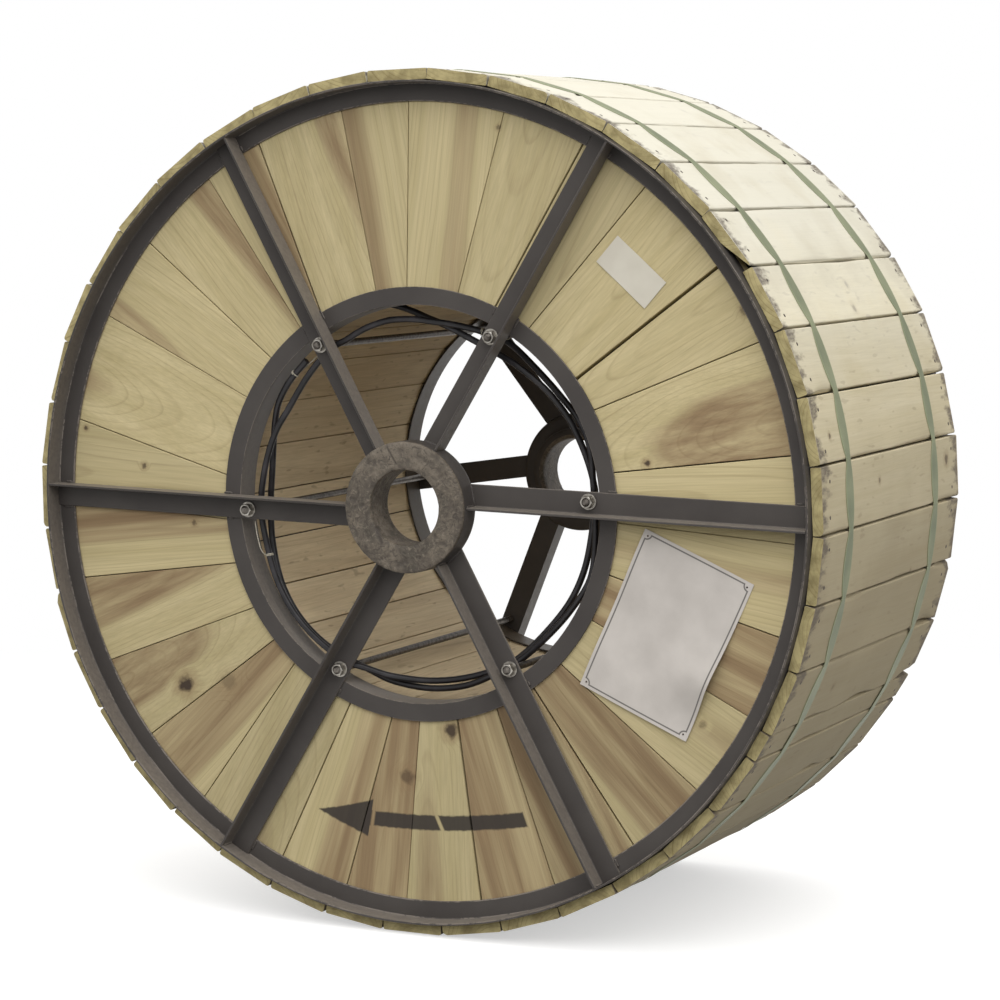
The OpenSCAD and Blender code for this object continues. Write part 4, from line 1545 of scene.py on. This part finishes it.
def paper(name, middle, turn, width, height, lift, thick, material, cells):
    at = laid_on_boards(middle, turn, width, height, lift)
    wide, high = cells
    shape = bmesh.new()
    sheet = shape.verts.layers.float_vector.new("sheet")
    grids = []
    for off in (PAPER_OFF + thick, PAPER_OFF):
        grid = [[shape.verts.new(at(i / wide, j / high, off)) for i in range(wide + 1)]
                for j in range(high + 1)]
        for a, b in zip(grid, grid[1:]):
            for i in range(wide):
                shape.faces.new((a[i], a[i + 1], b[i + 1], b[i]))
        for j, row in enumerate(grid):
            for i, point in enumerate(row):
                point[sheet] = Vector((min(i, wide - i) / wide * width,
                                       min(j, high - j) / high * height, 0))
        grids.append(grid)
    around = ([(0, i) for i in range(wide)] + [(j, wide) for j in range(high)]
              + [(high, i) for i in range(wide, 0, -1)] + [(j, 0) for j in range(high, 0, -1)])
    skin(shape, [[grid[j][i] for j, i in around] for grid in grids])
    return drawn_piece(shape, name, [material], None, smooth=60)


def sheet_lift(a, b):
    """The sheet bulges at its right edge, and a soft wave runs across it."""
    wave = 1.8 * MM * (1 + math.sin(b * 9 + a * 3))
    return wave + 14 * MM * math.exp(-((a - 1) / 0.4) ** 2 - ((b - 0.36) / 0.17) ** 2)


sheet_white = paper_finish("sheet_white", ("#b9b3ad", "#c8c2bc"), (6 * MM, 2 * MM, 9 * MM))
# Middle in millimetres, turn in degrees, width, height and lift
SHEET = ((447.5, -190.5), -23.7, 203 * MM, 284 * MM, sheet_lift)
paper("plain_sheet", *SHEET, 0.4 * MM, sheet_white, (24, 34))

# %% [markdown]
# A tack holds each corner of the sheet: a little disc of steel that follows the paper's height.

# %% Tacks
TACK_R, TACK_IN = 1.6 * MM, 9 * MM     # radius, and distance from the sheet's edges
TACK_OFF = 1.2                         # millimetres off the boards
TACK_HEAD = ((0.9, -0.8), (1.0, 0.0), (0.6, 0.5))  # share of radius, millimetres of height


def tacks(middle, turn, width, height, lift):
    at = laid_on_boards(middle, turn, width, height, lift)
    right, up = directions(math.radians(turn))
    shape = bmesh.new()
    for a in (TACK_IN / width, 1 - TACK_IN / width):
        for b in (TACK_IN / height, 1 - TACK_IN / height):
            loft(shape, [circle(at(a, b, (TACK_OFF + out) * MM), right, up, TACK_R * share, 12)
                         for share, out in TACK_HEAD])
    return drawn_piece(shape, "sheet_tacks", [nail_steel()], "black_steel")


tacks(*SHEET)

# %% [markdown]
# The label is thinner and stuck down flat, so it has a slight wave only and needs no tacks.

# %% The label


def label_lift(a, b):
    return 0.3 * MM * (1 + math.sin(a * 9))


label_white = paper_finish("label_white", ("#c4beb0", "#cec9bb"))
LABEL = ((384, 391), -41.4, 112 * MM, 56 * MM, label_lift)
paper("plain_label", *LABEL, 0.15 * MM, label_white, (14, 8))

# %% [markdown]
# Thin pale twine ties the cable's end to the frame: round the cable, across to the nearest tie
# rod and round that. One more tie on the left has long loose ends.

# %% Twine
TWINE_R = 0.9 * MM


def twine_finish():
    material, tree, shader = finish_named("twine", Roughness=0.85)
    spot = add(tree, "TexCoord", out="Object")
    strands = add(tree, "TexNoise", {"Vector": spot, "Scale": every(2), "Detail": 2.0})
    colour = add(tree, "ValToRGB", {"Fac": strands},
                 stops=[(0.3, linear("#9a9384")), (0.7, linear("#cfc9b8"))])
    tree.links.new(colour, shader.inputs["Base Color"])
    return material


def loop_round(centre, along, radius, turns=1.6):
    """A few turns of twine round a line through centre."""
    side = along.cross(Vector((0, 0, 1)))
    side = side.normalized() if side.length > 0.1 else Vector((1, 0, 0))
    up = side.cross(along).normalized()
    line = []
    for k in range(int(18 * turns) + 1):
        turn = math.tau * k / 18
        line.append(centre + along * (k / 18 * 2.2 * MM) + side * radius * math.cos(turn)
                    + up * radius * math.sin(turn))
    return line


def round_cable(index):
    """Twine round the cable at a point of its line."""
    along = (cable_line[index + 2] - cable_line[index - 2]).normalized()
    return loop_round(cable_line[index], along, CABLE_D / 2 + TWINE_R)


def round_rod(index):
    """Twine round the tie rod that is nearest to a point of the cable's line."""
    here = cable_line[index]
    rods = [centre_of(block) for block in blocks_of("tie_rods")]
    near = min(rods, key=lambda rod: math.hypot(rod.x - here.x, rod.z - here.z))
    rod = Vector((near.x, here.y, near.z))
    rod_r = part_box("tie_rods")[1].x - max(r.x for r in rods)
    print("A tie spans", round((rod - here).length / MM), "mm")
    return loop_round(rod, ALONG_DRUM, rod_r + TWINE_R)


def tie(name, line):
    return tube(name, eased(line, 3), TWINE_R, twine)


twine = twine_finish()
loose_end = round_cable(172)
for step in ((-3, -6, 4), (-4, -3, 10), (-7, 2, 22), (-5, 3, 20)):   # millimetres
    loose_end.append(loose_end[-1] + Vector(step) * MM)
tie("tie_left", loose_end)
for name, index in (("upper_left", 208), ("upper_right", 252), ("lower_left", 149),
                    ("free_end", len(cable_line) - 5)):
    tie(f"tie_{name}", round_cable(index) + round_rod(index))

# %% [markdown]
# The floor and the world look white to the camera and to what mirrors them. To plain light the
# floor is dark ground, which throws little light back, and it still takes the drum's shadow.

# %% Floor
FLOOR_Z = cad_box[0].z


def seen_plainly(tree):
    """1 for what the camera sees, directly or mirrored or through glass, and 0 for plain light."""
    rays = add(tree, "LightPath").node.outputs
    mirrored = add(tree, "Math", {0: rays["Is Camera Ray"], 1: rays["Is Glossy Ray"]},
                   operation="MAXIMUM")
    return add(tree, "Math", {0: mirrored, 1: rays["Is Transmission Ray"]}, operation="MAXIMUM")


def floor():
    material = bpy.data.materials.new("pale_floor")
    material.use_nodes = True
    tree = material.node_tree
    tree.nodes.clear()
    lit = add(tree, "BsdfDiffuse", {"Color": grey(0.6)})
    glow = add(tree, "Emission", {"Color": grey(1.0), "Strength": 0.5})
    near = add(tree, "AddShader", {0: lit, 1: glow})
    # Far from the drum no shadow falls, and the floor runs into the white background
    spot = add(tree, "TexCoord", out="Object")
    away = add(tree, "VectorMath", {0: spot}, out="Value", operation="LENGTH")
    far = add(tree, "MapRange", {"Value": away, "From Min": 1.3, "From Max": 3.2},
              interpolation_type="SMOOTHSTEP")
    white = add(tree, "Emission", {"Color": grey(1.0), "Strength": 1.0})
    pale = add(tree, "MixShader", {0: far, 1: near, 2: white})
    dull = add(tree, "BsdfDiffuse", {"Color": grey(0.15)})
    both = add(tree, "MixShader", {0: seen_plainly(tree), 1: dull, 2: pale})
    add(tree, "OutputMaterial", {"Surface": both})
    shape = bmesh.new()
    bmesh.ops.create_grid(shape, x_segments=1, y_segments=1, size=30)
    mesh = bpy.data.meshes.new("floor")
    shape.to_mesh(mesh)
    shape.free()
    mesh.materials.append(material)
    ground = new_object("floor", mesh)
    ground.location.z = FLOOR_Z


floor()
print("The floor lies at", round(FLOOR_Z, 4))

# %% [markdown]
# The light is that of an even, overcast sky: most of it comes from the upper half of the world,
# and the undersides get little. Two large weak lamps add some shape.

# %% Light
SKY, GROUND = 1.37, 0.06


def lamp(name, place, size, power):
    """A large soft lamp that faces the reel's middle."""
    data = bpy.data.lights.new(name, "AREA")
    data.shape = "RECTANGLE"
    data.size, data.size_y = size
    data.energy = power
    light = new_object(name, data)
    light.location = place
    light.rotation_euler = (-Vector(place)).to_track_quat("-Z", "Y").to_euler()
    print(f"{name}: {power} W from", place)


def sky():
    world = bpy.data.worlds.new("overcast")
    bpy.context.scene.world = world
    world.use_nodes = True
    tree = world.node_tree
    tree.nodes.clear()
    up = add(tree, "TexCoord", out="Generated")
    up = add(tree, "SeparateXYZ", {"Vector": up}, out="Z")
    strength = add(tree, "MapRange", {
        "Value": up, "From Min": -0.05, "From Max": 0.15, "To Min": GROUND, "To Max": SKY})
    soft = add(tree, "Background", {"Color": (1.0, 0.99, 0.97, 1), "Strength": strength})
    white = add(tree, "Background", {"Color": grey(1.0), "Strength": 1.0})
    both = add(tree, "MixShader", {0: seen_plainly(tree), 1: soft, 2: white})
    add(tree, "OutputWorld", {"Surface": both})


sky()
lamp("sky_light", (1.2, -1.6, 4.2), (3.0, 3.0), 40)
lamp("front_light", (1.9, -2.9, 2.6), (2.5, 2.0), 42)
